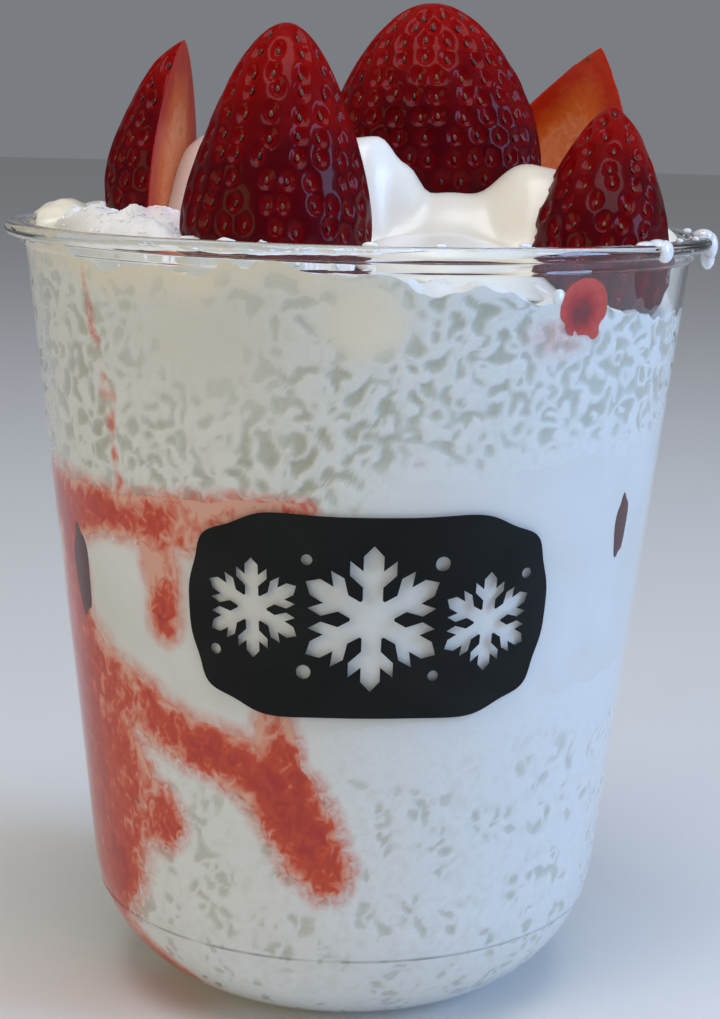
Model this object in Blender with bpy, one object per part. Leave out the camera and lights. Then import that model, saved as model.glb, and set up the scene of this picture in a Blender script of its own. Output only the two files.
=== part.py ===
"""Shaved ice dessert in a clear cup: ice, milk and strawberry sauce in layers, with cream and berries on top.

The shapes are worked out in millimetres and scaled to metres at the end. Z is up, -Y is the shown front
and the origin is the middle of the cup's foot.
"""

import math

import bmesh
import bpy
from mathutils import Matrix, Vector

for old in list(bpy.data.objects):
    bpy.data.objects.remove(old, do_unlink=True)

MM = 0.001

# Cup: a thin moulded wall that widens upwards, a round heel and a beaded rim
CUP_HEIGHT = 108.5
RIM_RADIUS = 49.0
RIM_BEAD_HEIGHT = 1.9
COLLAR_RADIUS = 46.7
WALL_TOP_RADIUS = 46.1
WALL_TOP_HEIGHT = 105.2
WALL_SLOPE = 0.1093
WALL_THICKNESS = 0.8
HEEL_RADIUS = 20.6
CUP_SPOKES = 44

# Space between neighbouring solids
GAP = 0.3
CONTENT_INSET = WALL_THICKNESS + GAP

# Layers
LOWER_ICE_TOP = 46.5
MILK_TOP_LEFT = 69.0
MILK_TOP_RIGHT = 79.5
SAUCE_BAND_TOP = 75.2
UPPER_ICE_TOP = 104.6
TOP_RINGS = (0.2, 0.4, 0.56, 0.7, 0.82, 0.92)
LAYER_SPOKES = 36
LAYER_CELL = 9.2

# Cut strawberries: tip and foot of the axis, the way the skin faces, half width, depth, fullness
# and how sharp the tip is
BERRY_FRONT_LEFT = ((-9.6, -21.0, 134.9), (-10.8, -22.5, 98.9), (-0.12, -1.0), 12.4, 13.5, 6.0, 0.53)
BERRY_CENTRE = ((9.6, 7.0, 139.2), (10.6, 6.0, 104.0), (0.05, -1.0), 15.5, 13.5, 3.0, 0.5)
BERRY_BACK_LEFT = ((-25.4, 8.0, 133.4), (-27.6, 8.0, 101.5), (-1.0, 0.20), 11.6, 9.6, 3.5, 0.62)
BERRY_BACK_RIGHT = ((35.0, 20.0, 134.2), (26.0, 19.0, 102.0), (0.35, 0.94), 12.2, 8.5, 4.0, 0.85)
BERRY_FRONT_RIGHT = ((33.7, -9.0, 125.4), (30.2, -21.5, 94.5), (0.10, -1.0), 9.3, 12.5, 3.5, 0.64)
DIMPLE_DEPTH = 0.55
HULL_CUT = 0.93

# Sauce on the wall: angle from the front in degrees, height and half width of each run
SAUCE_RUNS = (
    ((-74, 71.0, 4.5), (-62, 71.2, 4.2), (-50, 72.4, 2.8)),
    ((-50, 72.4, 2.8), (-34, 72.2, 3.2), (-19, 73.3, 3.0), (-8, 75.0, 1.6)),
    ((-67, 71.0, 4.6), (-66, 61.0, 5.0), (-68, 53.0, 7.0)),
    ((-68, 53.0, 7.0), (-62, 45.0, 10.5), (-60, 35.0, 12.5), (-64, 25.0, 12.0)),
    ((-64, 25.0, 12.0), (-70, 16.0, 9.0), (-66, 9.5, 5.5), (-44, 5.2, 1.8)),
    ((-56, 48.0, 5.5), (-44, 46.6, 4.0), (-33, 43.4, 3.4), (-25, 42.0, 3.4), (-15, 39.8, 4.4)),
    ((-15, 39.8, 4.4), (-9.5, 34.5, 4.7), (-6.3, 29.8, 4.6), (-3.8, 27.2, 3.9)),
    ((-52, 33.0, 6.0), (-41, 31.0, 4.4)),
    ((-36, 71.0, 2.6), (-35.5, 63.0, 2.5), (-35.5, 58.6, 2.2)),
    ((-13.5, 48.2, 2.2), (-13.0, 42.5, 3.2)),
)
SAUCE_WRAP_RADIUS = 42.0
SAUCE_CELL = 3.8
BAND_CELL = 7.6

# Strawberry pieces that press on the wall: angle, height, half width, half height, depth
PIECE_LEFT = (-60.5, 63.0, 2.4, 6.2, 3.2)
PIECE_RIGHT = (58.5, 71.2, 1.6, 4.2, 2.6)

# Cream: middle, half sizes and height of each swell
CREAM_SWELLS = (
    (0.0, 21.0, 40.0, 19.0, 112.0),
    (-19.0, 13.0, 12.0, 12.0, 121.0),
    (0.0, -9.5, 6.4, 8.0, 121.0),
    (14.0, -8.0, 17.0, 11.0, 114.0),
    (24.5, -9.0, 9.5, 12.0, 117.5),
    (10.0, -24.0, 15.0, 17.0, 109.5),
    (-40.0, 14.0, 9.0, 13.0, 111.0),
    (42.0, 8.0, 7.0, 12.0, 110.0),
)
CREAM_CELL = 4.9
CREAM_SUNK = 1.8

# Points of a patch's grid keep this far from its edge, so that no two patches meet in a point
EDGE_CLEARANCE = 0.12
EDGE_THICKNESS = 0.35

HALF_ANGLE = math.atan(WALL_SLOPE)
WALL_RADIUS_AT_HEEL = WALL_TOP_RADIUS + WALL_SLOPE * (HEEL_RADIUS - WALL_TOP_HEIGHT)
HEEL_CENTRE_RADIUS = WALL_RADIUS_AT_HEEL - HEEL_RADIUS / math.cos(HALF_ANGLE)


def wall_radius(height, inset=CONTENT_INSET):
    """Radius of the wall at a height, measured to a skin that lies inset within the outer face."""
    arc = HEEL_RADIUS - inset
    if height > HEEL_RADIUS - arc * math.sin(HALF_ANGLE):
        return WALL_TOP_RADIUS + WALL_SLOPE * (height - WALL_TOP_HEIGHT) - inset / math.cos(HALF_ANGLE)
    drop = min(HEEL_RADIUS - height, arc)
    return HEEL_CENTRE_RADIUS + math.sqrt(arc * arc - drop * drop)


def heel_points(inset, count):
    """The heel's arc from the flat foot up to where the straight wall begins."""
    arc = HEEL_RADIUS - inset
    turn = math.pi / 2 - HALF_ANGLE
    steps = [turn * i / count for i in range(count + 1)]
    return [(HEEL_CENTRE_RADIUS + arc * math.sin(a), HEEL_RADIUS - arc * math.cos(a)) for a in steps]


def spun(points, spokes):
    """A closed solid turned from a profile that starts and ends on the axis."""
    bm = bmesh.new()
    verts = [bm.verts.new((r, 0.0, z)) for r, z in points]
    edges = [bm.edges.new(pair) for pair in zip(verts, verts[1:])]
    full = 2 * math.pi
    bmesh.ops.spin(
        bm, geom=verts + edges, cent=(0, 0, 0), axis=(0, 0, 1), angle=full, steps=spokes, use_merge=True
    )
    bmesh.ops.remove_doubles(bm, verts=bm.verts[:], dist=1e-4)
    return bm


def material(name, colour, roughness, alpha=1.0):
    made = bpy.data.materials.new(name)
    made.use_nodes = True
    surface = made.node_tree.nodes["Principled BSDF"]
    surface.inputs["Base Color"].default_value = (*colour, 1.0)
    surface.inputs["Roughness"].default_value = roughness
    surface.inputs["Metallic"].default_value = 0.0
    surface.inputs["Alpha"].default_value = alpha
    return made


def face_out(bm):
    """Turns the faces of a closed solid outwards."""
    bmesh.ops.recalc_face_normals(bm, faces=bm.faces[:])
    if bm.calc_volume(signed=True) < 0:
        bmesh.ops.reverse_faces(bm, faces=bm.faces[:])


def as_object(name, bm, surface=None):
    face_out(bm)
    mesh = bpy.data.meshes.new(name)
    bm.to_mesh(mesh)
    bm.free()
    mesh.shade_smooth()
    if surface:
        mesh.materials.append(surface)
    made = bpy.data.objects.new(name, mesh)
    bpy.context.scene.collection.objects.link(made)
    return made


def combine(target, others, operation):
    """Applies a Boolean of the target with each of the others, one at a time."""
    for other in others:
        step = target.modifiers.new(other.name, "BOOLEAN")
        step.operation = operation
        step.object = other
        step.solver = "MANIFOLD"
        graph = bpy.context.evaluated_depsgraph_get()
        mesh = bpy.data.meshes.new_from_object(target.evaluated_get(graph))
        target.modifiers.clear()
        target.data = mesh
    return target


def keep_largest(target):
    """Drops loose scraps that a cut has left."""
    bm = bmesh.new()
    bm.from_mesh(target.data)
    left = set(bm.verts)
    parts = []
    while left:
        stack = [left.pop()]
        part = set(stack)
        while stack:
            for edge in stack.pop().link_edges:
                for vert in edge.verts:
                    if vert in left:
                        left.remove(vert)
                        part.add(vert)
                        stack.append(vert)
        parts.append(part)
    parts.sort(key=len)
    scraps = [vert for part in parts[:-1] for vert in part]
    bmesh.ops.delete(bm, geom=scraps, context="VERTS")
    bm.to_mesh(target.data)
    bm.free()
    return target


def waves(x, y, size, seed):
    """Uneven swells between about -1 and 1, some `size` millimetres across."""
    total = 0.0
    for i in range(4):
        turn = seed * 1.7 + i * 2.4
        reach = size * (0.75 + 0.28 * i)
        along = x * math.cos(turn) + y * math.sin(turn)
        total += math.sin(2 * math.pi * along / reach + seed * (i + 1.3)) / 2.6
    return total


def smooth_step(low, high, value):
    t = min(max((value - low) / (high - low), 0.0), 1.0)
    return t * t * (3 - 2 * t)


def lower_ice_top(x, y):
    return LOWER_ICE_TOP + 0.115 * x + 0.9 * waves(x, y, 24, 1)


def milk_top(x, y):
    rise = smooth_step(-8.0, 10.0, x + 2.5 * waves(y, x, 34, 2))
    lean = 0.04 * x + 0.7 * waves(x, y, 19, 3)
    return MILK_TOP_LEFT + (MILK_TOP_RIGHT - MILK_TOP_LEFT) * rise + lean


def sauce_band(x, y):
    """How thick the sauce lies on the milk."""
    return SAUCE_BAND_TOP + 0.9 * waves(x, y, 15, 4) - milk_top(x, y) - GAP


def ice_bed(x, y):
    """The upper ice's surface without its small lumps."""
    right = max(x, 0.0)
    surface = UPPER_ICE_TOP - 0.085 * x - 0.0016 * right * right
    heap = 3.6 * math.exp(-((x + 30.0) ** 2 + (y + 16.0) ** 2) / 150.0)
    front_left = 1.6 * math.exp(-((x + 12.0) ** 2 + (y + 38.0) ** 2) / 160.0)
    edge = 3.0 * smooth_step(38.0, 45.0, math.hypot(x, y)) * smooth_step(0.0, -30.0, x)
    return surface + heap + front_left - edge


def upper_ice_top(x, y):
    return ice_bed(x, y) + 0.75 * waves(x, y, 8.5, 5) + 0.35 * waves(x, y, 4.2, 6)


def layer(bottom, top, levels, bottom_rings, top_rings):
    """A solid between two uneven heights that fills the cup out to its wall."""
    points = [(0.0, 0.0)] + [(f, 0.0) for f in bottom_rings] + [(1.0, v) for v in levels]
    points += [(f, 1.0) for f in reversed(top_rings)] + [(0.0, 1.0)]
    bm = spun(points, LAYER_SPOKES)
    for vert in bm.verts:
        x, y, level = vert.co
        reach = 40.0
        for _ in range(5):
            low, high = bottom(x * reach, y * reach), top(x * reach, y * reach)
            height = low + (high - low) * level
            reach = wall_radius(height)
        vert.co = (x * reach, y * reach, height)
    return bm


def patch(thickness, top, base, low, high, cell):
    """A solid where thickness(a, b) is above zero over an area, between two placing rules."""
    spans = [h - l for l, h in zip(low, high)]
    counts = [round(span / cell) for span in spans]
    bm = bmesh.new()
    bmesh.ops.create_grid(bm, x_segments=counts[0], y_segments=counts[1], size=0.5)
    for vert in bm.verts:
        a = low[0] + (vert.co.x + 0.5) * spans[0]
        b = low[1] + (vert.co.y + 0.5) * spans[1]
        above = thickness(a, b)
        clear = above if abs(above) > EDGE_CLEARANCE else math.copysign(EDGE_CLEARANCE, above)
        vert.co = (a, b, clear)
    bmesh.ops.triangulate(bm, faces=bm.faces[:], quad_method="SHORT_EDGE")
    whole = bm.verts[:] + bm.edges[:] + bm.faces[:]
    bmesh.ops.bisect_plane(bm, geom=whole, plane_co=(0, 0, 0), plane_no=(0, 0, 1), clear_inner=True)
    sheet = bm.verts[:]
    bmesh.ops.extrude_face_region(bm, geom=bm.faces[:], use_keep_orig=True)
    below = set(sheet)
    for vert in bm.verts:
        place = base if vert in below else top
        vert.co = place(*vert.co)
    return bm


def on_wall(along, height, depth):
    """A point that lies depth within the contents' outer face."""
    angle = along / SAUCE_WRAP_RADIUS
    reach = wall_radius(height) - depth
    return reach * math.sin(angle), -reach * math.cos(angle), height


def run_thickness(along, height, run):
    """Thickness of one run of sauce: a rounded ridge round a line of points with changing width."""
    best = -9.0
    ends = [(math.radians(angle) * SAUCE_WRAP_RADIUS, z, half) for angle, z, half in run]
    for (a0, z0, w0), (a1, z1, w1) in zip(ends, ends[1:]):
        da, dz = a1 - a0, z1 - z0
        t = ((along - a0) * da + (height - z0) * dz) / (da * da + dz * dz)
        t = min(max(t, 0.0), 1.0)
        half = w0 + (w1 - w0) * t
        away = math.hypot(along - a0 - da * t, height - z0 - dz * t) / half
        best = max(best, (0.35 * half + 0.8) * (1.0 - away * away))
    return best


def sauce_on_wall(along, height):
    wobble = 0.35 * waves(along, height, 7.0, 7) + 0.2 * waves(along, height, 3.6, 8)
    return max(run_thickness(along, height, run) for run in SAUCE_RUNS) + wobble


def sauce(name, growth):
    """The band through the food and the runs on the wall, as one solid. A grown one is a cutter."""
    spread = 1.3 * growth
    under = -2.0 * growth
    past_wall = 2.0 if growth else -0.2

    def band(x, y):
        reach = wall_radius(milk_top(x, y)) + past_wall
        return min(sauce_band(x, y) + spread, 3.0 * (reach - math.hypot(x, y)))

    made = as_object(
        name,
        patch(
            band,
            lambda x, y, t: (x, y, milk_top(x, y) + GAP + EDGE_THICKNESS + t),
            lambda x, y, t: (x, y, milk_top(x, y) + GAP + under),
            (-47, -47),
            (14, 47),
            BAND_CELL,
        ),
    )
    keep_largest(made)
    runs = as_object(
        "runs",
        patch(
            lambda a, b: sauce_on_wall(a, b) + spread,
            lambda a, b, t: on_wall(a, b, EDGE_THICKNESS + t),
            lambda a, b, t: on_wall(a, b, under),
            (-66, 2.5),
            (3, 80),
            SAUCE_CELL,
        ),
    )
    combine(made, [runs], "UNION")
    bpy.data.objects.remove(runs, do_unlink=True)
    return made


def everything_below(name, surface, lift=0.0):
    """A slab as wide as the cup, up to an uneven surface."""
    return as_object(
        name,
        patch(
            lambda x, y: 1.0,
            lambda x, y, t: (x, y, surface(x, y) + lift),
            lambda x, y, t: (x, y, -5.0),
            (-51, -51),
            (51, 51),
            LAYER_CELL,
        ),
    )


def cream_top(x, y):
    """Soft union of the swells."""
    total = 0.0
    for cx, cy, rx, ry, top in CREAM_SWELLS:
        away = ((x - cx) / rx) ** 2 + ((y - cy) / ry) ** 2
        rise = (top - 100.0) * math.exp(-(away**1.6) * 0.9)
        total += max(rise, 0.0) ** 5
    return 98.5 + total**0.2 * 1.06


def cream(name, growth):
    """The cream lies on the ice and a little way in it. A grown one is a cutter."""
    lift = 2.0 if growth else 0.0
    past_wall = 2.0 if growth else -0.1

    def thickness(x, y):
        ice = ice_bed(x, y)
        reach = 2.2 * (wall_radius(ice - 2.0) + past_wall - math.hypot(x, y))
        return min(cream_top(x, y) - ice + 2.0 * growth, reach)

    def top(x, y, t):
        return x, y, ice_bed(x, y) + t + lift

    def base(x, y, t):
        sunk = CREAM_SUNK * min(max(t - 2.0 * growth, 0.0) / 4.0, 1.0)
        return x, y, ice_bed(x, y) - EDGE_THICKNESS - sunk - 1.6 * growth

    return as_object(name, patch(thickness, top, base, (-46.5, -46.5), (46.5, 46.5), CREAM_CELL))


def berry_half_width(s, length, half_width, fullness, sharpness):
    """Half width of the fruit at a distance from its tip: a parabola at sharpness 0.5, a cone at 1."""
    t = s / length
    widest = (1.0 / (1.0 + fullness)) ** (1.0 / fullness)
    most = widest * (1.0 - widest**fullness)
    return half_width * (max(t * (1.0 - t**fullness), 0.0) / most) ** sharpness


def berry(name, shape, spokes, rows, growth=0.0):
    """Half a strawberry: the skin is a half turn round the axis, closed by the flat cut face."""
    tip, foot, facing, half_width, depth, fullness, sharpness = shape
    tip, foot = Vector(tip), Vector(foot)
    up = (tip - foot).normalized()
    length = (tip - foot).length
    out = Vector((*facing, 0.0))
    out = (out - up * out.dot(up)).normalized()
    side = out.cross(up)
    bm = bmesh.new()
    steps = [HULL_CUT * length * (i / rows) ** 1.25 for i in range(rows + 1)]
    reaches = [berry_half_width(s, length, half_width, fullness, sharpness) for s in steps]
    verts = [bm.verts.new((reach, 0.0, -s)) for reach, s in zip(reaches, steps)]
    verts.append(bm.verts.new((0.0, 0.0, -HULL_CUT * length)))
    edges = [bm.edges.new(pair) for pair in zip(verts, verts[1:])]
    bmesh.ops.spin(bm, geom=verts + edges, cent=(0, 0, 0), axis=(0, 0, 1), angle=math.pi, steps=spokes)
    bmesh.ops.remove_doubles(bm, verts=bm.verts[:], dist=1e-3)
    bmesh.ops.holes_fill(bm, edges=[edge for edge in bm.edges if edge.is_boundary], sides=0)
    for vert in bm.verts:
        x, y, z = vert.co
        radial = math.hypot(x, y)
        row = round((max(-z, 0.0) / length / HULL_CUT) ** 0.8 * rows)
        spoke = round(math.atan2(y, x) / math.pi * spokes) if radial > 1e-3 else 0
        skin = 0 < spoke < spokes and 1 < row < rows - 1
        dimple = skin and not growth and row % 2 == 0 and (spoke + row // 2) % 2 == 0
        sink = DIMPLE_DEPTH if dimple else 0.0
        scale = 1.0 - sink / radial if radial > 1e-3 else 1.0
        across, outward = x * scale, y * scale * depth / half_width
        vert.co = tip + up * z + side * across + out * outward
    if growth:
        middle = tip + up * (-0.6 * length) + out * (0.45 * depth)
        widths = (half_width, depth * 0.5, length * 0.5)
        frame = Matrix((side, out, up))
        back = frame.transposed()
        for vert in bm.verts:
            local = frame @ (vert.co - middle)
            local = Vector([c * (1.0 + 1.6 * growth / w) for c, w in zip(local, widths)])
            vert.co = middle + back @ local
    return bm


def wall_piece(shape, growth=0.0):
    """A lump of fruit that presses on the wall."""
    angle, height, half_width, half_height, depth = shape
    bm = bmesh.new()
    bmesh.ops.create_uvsphere(bm, u_segments=10, v_segments=7, radius=1.0)
    along = math.radians(angle) * SAUCE_WRAP_RADIUS
    for vert in bm.verts:
        x, y, z = vert.co
        lumpy = 1.0 + 0.1 * math.sin(5.0 * x + 3.0 * z) + 0.07 * math.sin(7.0 * y + 4.0 * z)
        sideways = x * lumpy * (half_width + growth)
        lift = z * lumpy * (half_height + growth)
        inward = max(-y * lumpy * (depth + growth), -growth)
        vert.co = on_wall(along + sideways, height + lift, inward)
    return bm


def inside_cup():
    """The room for the contents, carried on above the rim, to press a fruit flat where it meets the wall."""
    points = [(0.0, 20.0), (wall_radius(20.0), 20.0), (wall_radius(108.0), 108.0)]
    points += [(wall_radius(150.0), 150.0), (0.0, 150.0)]
    return as_object("inside", spun(points, 2 * CUP_SPOKES))


def cup_profile():
    bead = CUP_HEIGHT - RIM_BEAD_HEIGHT
    outside = [(0.0, 0.0)] + heel_points(0.0, 6)
    outside += [(WALL_TOP_RADIUS, WALL_TOP_HEIGHT)]
    outside += [(COLLAR_RADIUS, WALL_TOP_HEIGHT + 0.2), (COLLAR_RADIUS, bead - 0.1)]
    outside += [(RIM_RADIUS - 1.1, bead), (RIM_RADIUS - 0.25, bead + 0.4), (RIM_RADIUS, bead + 1.05)]
    outside += [(RIM_RADIUS - 0.3, CUP_HEIGHT - 0.25), (RIM_RADIUS - 1.0, CUP_HEIGHT)]
    lip = wall_radius(CUP_HEIGHT - 0.8, WALL_THICKNESS)
    inside = [(lip + 0.85, CUP_HEIGHT), (lip + 0.2, CUP_HEIGHT - 0.3), (lip, CUP_HEIGHT - 0.8)]
    inside += list(reversed(heel_points(WALL_THICKNESS, 6))) + [(0.0, WALL_THICKNESS)]
    return outside + inside


CLEAR = material("clear plastic", (0.86, 0.88, 0.88), 0.08, 0.25)
ICE = material("shaved ice", (0.88, 0.89, 0.88), 0.55)
COARSE_ICE = material("packed shaved ice", (0.84, 0.86, 0.86), 0.6)
MILK = material("frozen milk", (0.92, 0.93, 0.93), 0.35)
CREAM = material("whipped cream", (0.94, 0.92, 0.86), 0.3)
SAUCE = material("strawberry sauce", (0.62, 0.06, 0.035), 0.3)
SKIN = material("strawberry skin", (0.36, 0.012, 0.02), 0.28)
FLESH = material("strawberry piece", (0.4, 0.02, 0.03), 0.35)

BERRIES = {
    "berry_front_left": (BERRY_FRONT_LEFT, 20, 21),
    "berry_centre": (BERRY_CENTRE, 22, 20),
    "berry_back_left": (BERRY_BACK_LEFT, 16, 17),
    "berry_back_right": (BERRY_BACK_RIGHT, 12, 14),
    "berry_front_right": (BERRY_FRONT_RIGHT, 16, 18),
}

as_object("cup", spun(cup_profile(), CUP_SPOKES), CLEAR)

room = inside_cup()
made = []
for name, (shape, spokes, rows) in BERRIES.items():
    fruit = as_object(name, berry(name, shape, spokes, rows), SKIN)
    if name == "berry_front_right":
        combine(fruit, [room], "INTERSECT")
    made.append(fruit)
bpy.data.objects.remove(room, do_unlink=True)

pockets = [
    as_object("pocket_" + name, berry(name, shape, 10, rows, GAP))
    for name, (shape, spokes, rows) in BERRIES.items()
]
made.append(as_object("strawberry_piece_left", wall_piece(PIECE_LEFT), FLESH))
made.append(as_object("strawberry_piece_right", wall_piece(PIECE_RIGHT), FLESH))
holes = [
    as_object("hole_" + side, wall_piece(shape, GAP))
    for side, shape in (("left", PIECE_LEFT), ("right", PIECE_RIGHT))
]

poured = sauce("strawberry_sauce", 0.0)
combine(poured, holes[:1], "DIFFERENCE")
keep_largest(poured)
mould = sauce("sauce_mould", GAP)
whipped = cream("cream", 0.0)
combine(whipped, pockets, "DIFFERENCE")
keep_largest(whipped)
cream_mould = cream("cream_mould", GAP)
slabs = {
    "lower_ice": everything_below("slab_1", lower_ice_top),
    "under_milk": everything_below("slab_2", lower_ice_top, GAP),
    "milk_layer": everything_below("slab_3", milk_top),
    "under_upper_ice": everything_below("slab_4", milk_top, GAP),
}


def contents(name):
    """All the food below the cream, cut out of one filling of the cup."""
    levels = (0, 0.03, 0.1, 0.18, 0.93, 1)
    return as_object(name, layer(lambda x, y: CONTENT_INSET, upper_ice_top, levels, (), TOP_RINGS))


base = contents("lower_ice")
combine(base, [slabs["lower_ice"]], "INTERSECT")
combine(base, [mould], "DIFFERENCE")
keep_largest(base)

milk = contents("milk_layer")
combine(milk, [slabs["milk_layer"]], "INTERSECT")
combine(milk, [slabs["under_milk"], mould, *holes], "DIFFERENCE")
keep_largest(milk)

upper = contents("upper_ice")
combine(upper, [slabs["under_upper_ice"], mould, cream_mould, *pockets], "DIFFERENCE")
keep_largest(upper)

for cutter in [*pockets, *holes, mould, cream_mould, *slabs.values()]:
    bpy.data.objects.remove(cutter, do_unlink=True)

for item, surface in ((poured, SAUCE), (whipped, CREAM), (base, COARSE_ICE), (milk, MILK), (upper, ICE)):
    item.data.materials.clear()
    item.data.materials.append(surface)

for item in bpy.data.objects:
    item.data.transform(Matrix.Scale(MM, 4))
    item.data.shade_smooth()
    item.data.set_sharp_from_angle(angle=math.radians(38))
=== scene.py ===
"""Shaved ice with milk, strawberry sauce, cream and halved strawberries in a clear cup.

Lengths are worked out in millimetres and scaled to metres when a piece is finished.
Z is up and -Y is the front.
"""

import itertools
import math

import bmesh
import bpy
import numpy as np
from mathutils import Matrix, Vector


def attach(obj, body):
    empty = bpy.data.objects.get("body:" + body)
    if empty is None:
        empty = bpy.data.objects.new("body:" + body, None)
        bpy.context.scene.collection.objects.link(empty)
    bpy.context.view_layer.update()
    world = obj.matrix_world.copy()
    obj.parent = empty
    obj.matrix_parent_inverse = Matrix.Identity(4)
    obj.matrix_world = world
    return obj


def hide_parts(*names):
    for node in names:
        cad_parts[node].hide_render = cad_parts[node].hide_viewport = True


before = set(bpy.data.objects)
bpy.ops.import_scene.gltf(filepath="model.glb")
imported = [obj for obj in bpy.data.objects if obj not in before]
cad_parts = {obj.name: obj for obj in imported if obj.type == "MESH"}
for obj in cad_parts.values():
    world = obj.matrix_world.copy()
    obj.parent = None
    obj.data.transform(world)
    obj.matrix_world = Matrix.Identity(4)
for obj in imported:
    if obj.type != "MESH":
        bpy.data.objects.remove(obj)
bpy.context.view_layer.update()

MM = 0.001

# The cup, as the solids have it
CUP_HEIGHT = 108.5
RIM_RADIUS = 49.0
RIM_BEAD_HEIGHT = 1.9
COLLAR_RADIUS = 46.7
WALL_TOP_RADIUS = 46.1
WALL_TOP_HEIGHT = 105.2
WALL_SLOPE = 0.1093
WALL_THICKNESS = 0.8
HEEL_RADIUS = 20.6
HALF_ANGLE = math.atan(WALL_SLOPE)
WALL_RADIUS_AT_HEEL = WALL_TOP_RADIUS + WALL_SLOPE * (HEEL_RADIUS - WALL_TOP_HEIGHT)
HEEL_CENTRE_RADIUS = WALL_RADIUS_AT_HEEL - HEEL_RADIUS / math.cos(HALF_ANGLE)
MOULD_LINE_HEIGHT = 14.0

# How far within the cup's outer face each filling ends: a hair inside the plastic, so that no air shows
ICE_INSET = 0.74
MILK_INSET = 0.72
SAUCE_INSET = 0.66
PIECE_INSET = 0.62
# How far a layer reaches into the one below, and the gap that the solids keep above the band of sauce
SEAM = -0.06
GAP = 0.3
# Radius at which a distance along the wall is measured
WRAP_RADIUS = 42.0

# Layers, as the solids have them
LOWER_ICE_TOP = 46.5
MILK_TOP_LEFT = 69.0
MILK_TOP_RIGHT = 79.5
SAUCE_BAND_TOP = 75.2
UPPER_ICE_TOP = 104.6
ICE_CURL_SIZE = 1.75
ICE_CURL_SEED = 11.0

# Sauce on the wall: angle from the front in degrees, height and half width of each run
SAUCE_RUNS = (
    ((-74, 71.0, 4.5), (-62, 71.2, 4.2), (-50, 72.4, 2.8)),
    ((-50, 72.4, 2.8), (-34, 72.2, 3.2), (-19, 73.3, 3.0), (-8, 75.0, 1.6)),
    ((-67, 71.0, 4.6), (-66, 61.0, 5.0), (-68, 53.0, 7.0)),
    ((-68, 53.0, 7.0), (-62, 45.0, 10.5), (-60, 35.0, 12.5), (-64, 25.0, 12.0)),
    ((-64, 25.0, 12.0), (-70, 16.0, 9.0), (-66, 9.5, 5.5), (-44, 5.2, 1.8)),
    ((-56, 48.0, 5.5), (-44, 46.6, 4.0), (-33, 43.4, 3.4), (-25, 42.0, 3.4), (-15, 39.8, 4.4)),
    ((-15, 39.8, 4.4), (-9.5, 34.5, 4.7), (-6.3, 29.8, 4.6), (-3.8, 27.2, 3.9)),
    ((-52, 33.0, 6.0), (-41, 31.0, 4.4)),
    ((-36, 71.0, 2.6), (-35.5, 63.0, 2.5), (-35.5, 58.6, 2.2)),
    ((-13.5, 48.2, 2.2), (-13.0, 42.5, 3.2)),
)
# Thin drips down the inside of the wall, above the band
THIN_RUNS = (
    ((-49.5, 104.0, 0.4), (-48.8, 99.0, 0.9), (-48.0, 96.0, 1.0), (-46.5, 91.0, 0.6), (-45.7, 88.0, 1.9)),
    ((-45.7, 88.0, 1.9), (-45.4, 82.0, 0.6), (-44.4, 77.0, 1.0), (-44.0, 74.0, 1.6)),
)

# Strawberry pieces that press on the wall: angle, height, half width, half height, depth
PIECE_LEFT = (-60.5, 63.0, 2.4, 6.2, 3.2)
PIECE_RIGHT = (58.5, 71.2, 1.6, 4.2, 2.6)
# Juice on the wall: angle, height and radius
WET_PATCH = (38.9, 100.8, 3.7)

# Cut strawberries: tip and foot of the axis, the way the skin faces, half width, depth, fullness and how
# sharp the tip is
BERRIES = {
    "berry_front_left": ((-9.6, -21.0, 134.9), (-10.8, -22.5, 98.9), (-0.12, -1.0), 12.4, 13.5, 6.0, 0.53),
    "berry_centre": ((9.6, 7.0, 139.2), (10.6, 6.0, 104.0), (0.05, -1.0), 15.5, 13.5, 3.0, 0.5),
    "berry_back_left": ((-25.4, 8.0, 133.4), (-27.6, 8.0, 101.5), (-1.0, 0.20), 11.6, 9.6, 3.5, 0.62),
    "berry_back_right": ((35.0, 20.0, 134.2), (26.0, 19.0, 102.0), (0.35, 0.94), 12.2, 8.5, 4.0, 0.85),
    "berry_front_right": ((33.7, -9.0, 125.4), (30.2, -21.5, 94.5), (0.10, -1.0), 9.3, 12.5, 3.5, 0.64),
}
# Share of a strawberry's length above the flat cut at its foot
HULL_CUT = 0.93
# Seeds, and the dimple round each
SEED_SPACING = 3.3
SEED_HALF_SIZES = (0.3, 0.55, 0.2)
SEED_SUNK = 0.46
DIMPLE_REACH = 1.25
DIMPLE_DEPTH = 0.6
# How finely a strawberry is divided: along its axis, round its skin and across its cut face
BERRY_ROWS = 104
BERRY_SPOKES = 92
BERRY_CUT_COLUMNS = 28

# Cream: middle, half sizes and height of each swell
CREAM_SWELLS = (
    (0.0, 21.0, 40.0, 19.0, 112.0),
    (-19.0, 13.0, 12.0, 12.0, 121.0),
    (0.0, -9.5, 6.4, 8.0, 121.0),
    (14.0, -8.0, 17.0, 11.0, 114.0),
    (24.5, -9.0, 9.5, 12.0, 117.5),
    (10.0, -24.0, 15.0, 17.0, 109.5),
    (-40.0, 14.0, 9.0, 13.0, 111.0),
    (42.0, 8.0, 7.0, 12.0, 110.0),
)
CREAM_SUNK = 1.8
# Small folds that the scene adds to the cream: the peak's slope
CREAM_FOLDS = ((5.2, -9.0, 4.6, 7.0, 116.3),)
# Ivory cream against the rim at the far left and right: middle and half sizes of each lump
RIM_LUMPS = (
    ((-42.4, 8.0, 105.7), (5.8, 8.2, 4.7)),
    ((42.6, 8.5, 102.6), (4.6, 9.0, 6.0)),
)

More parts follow.
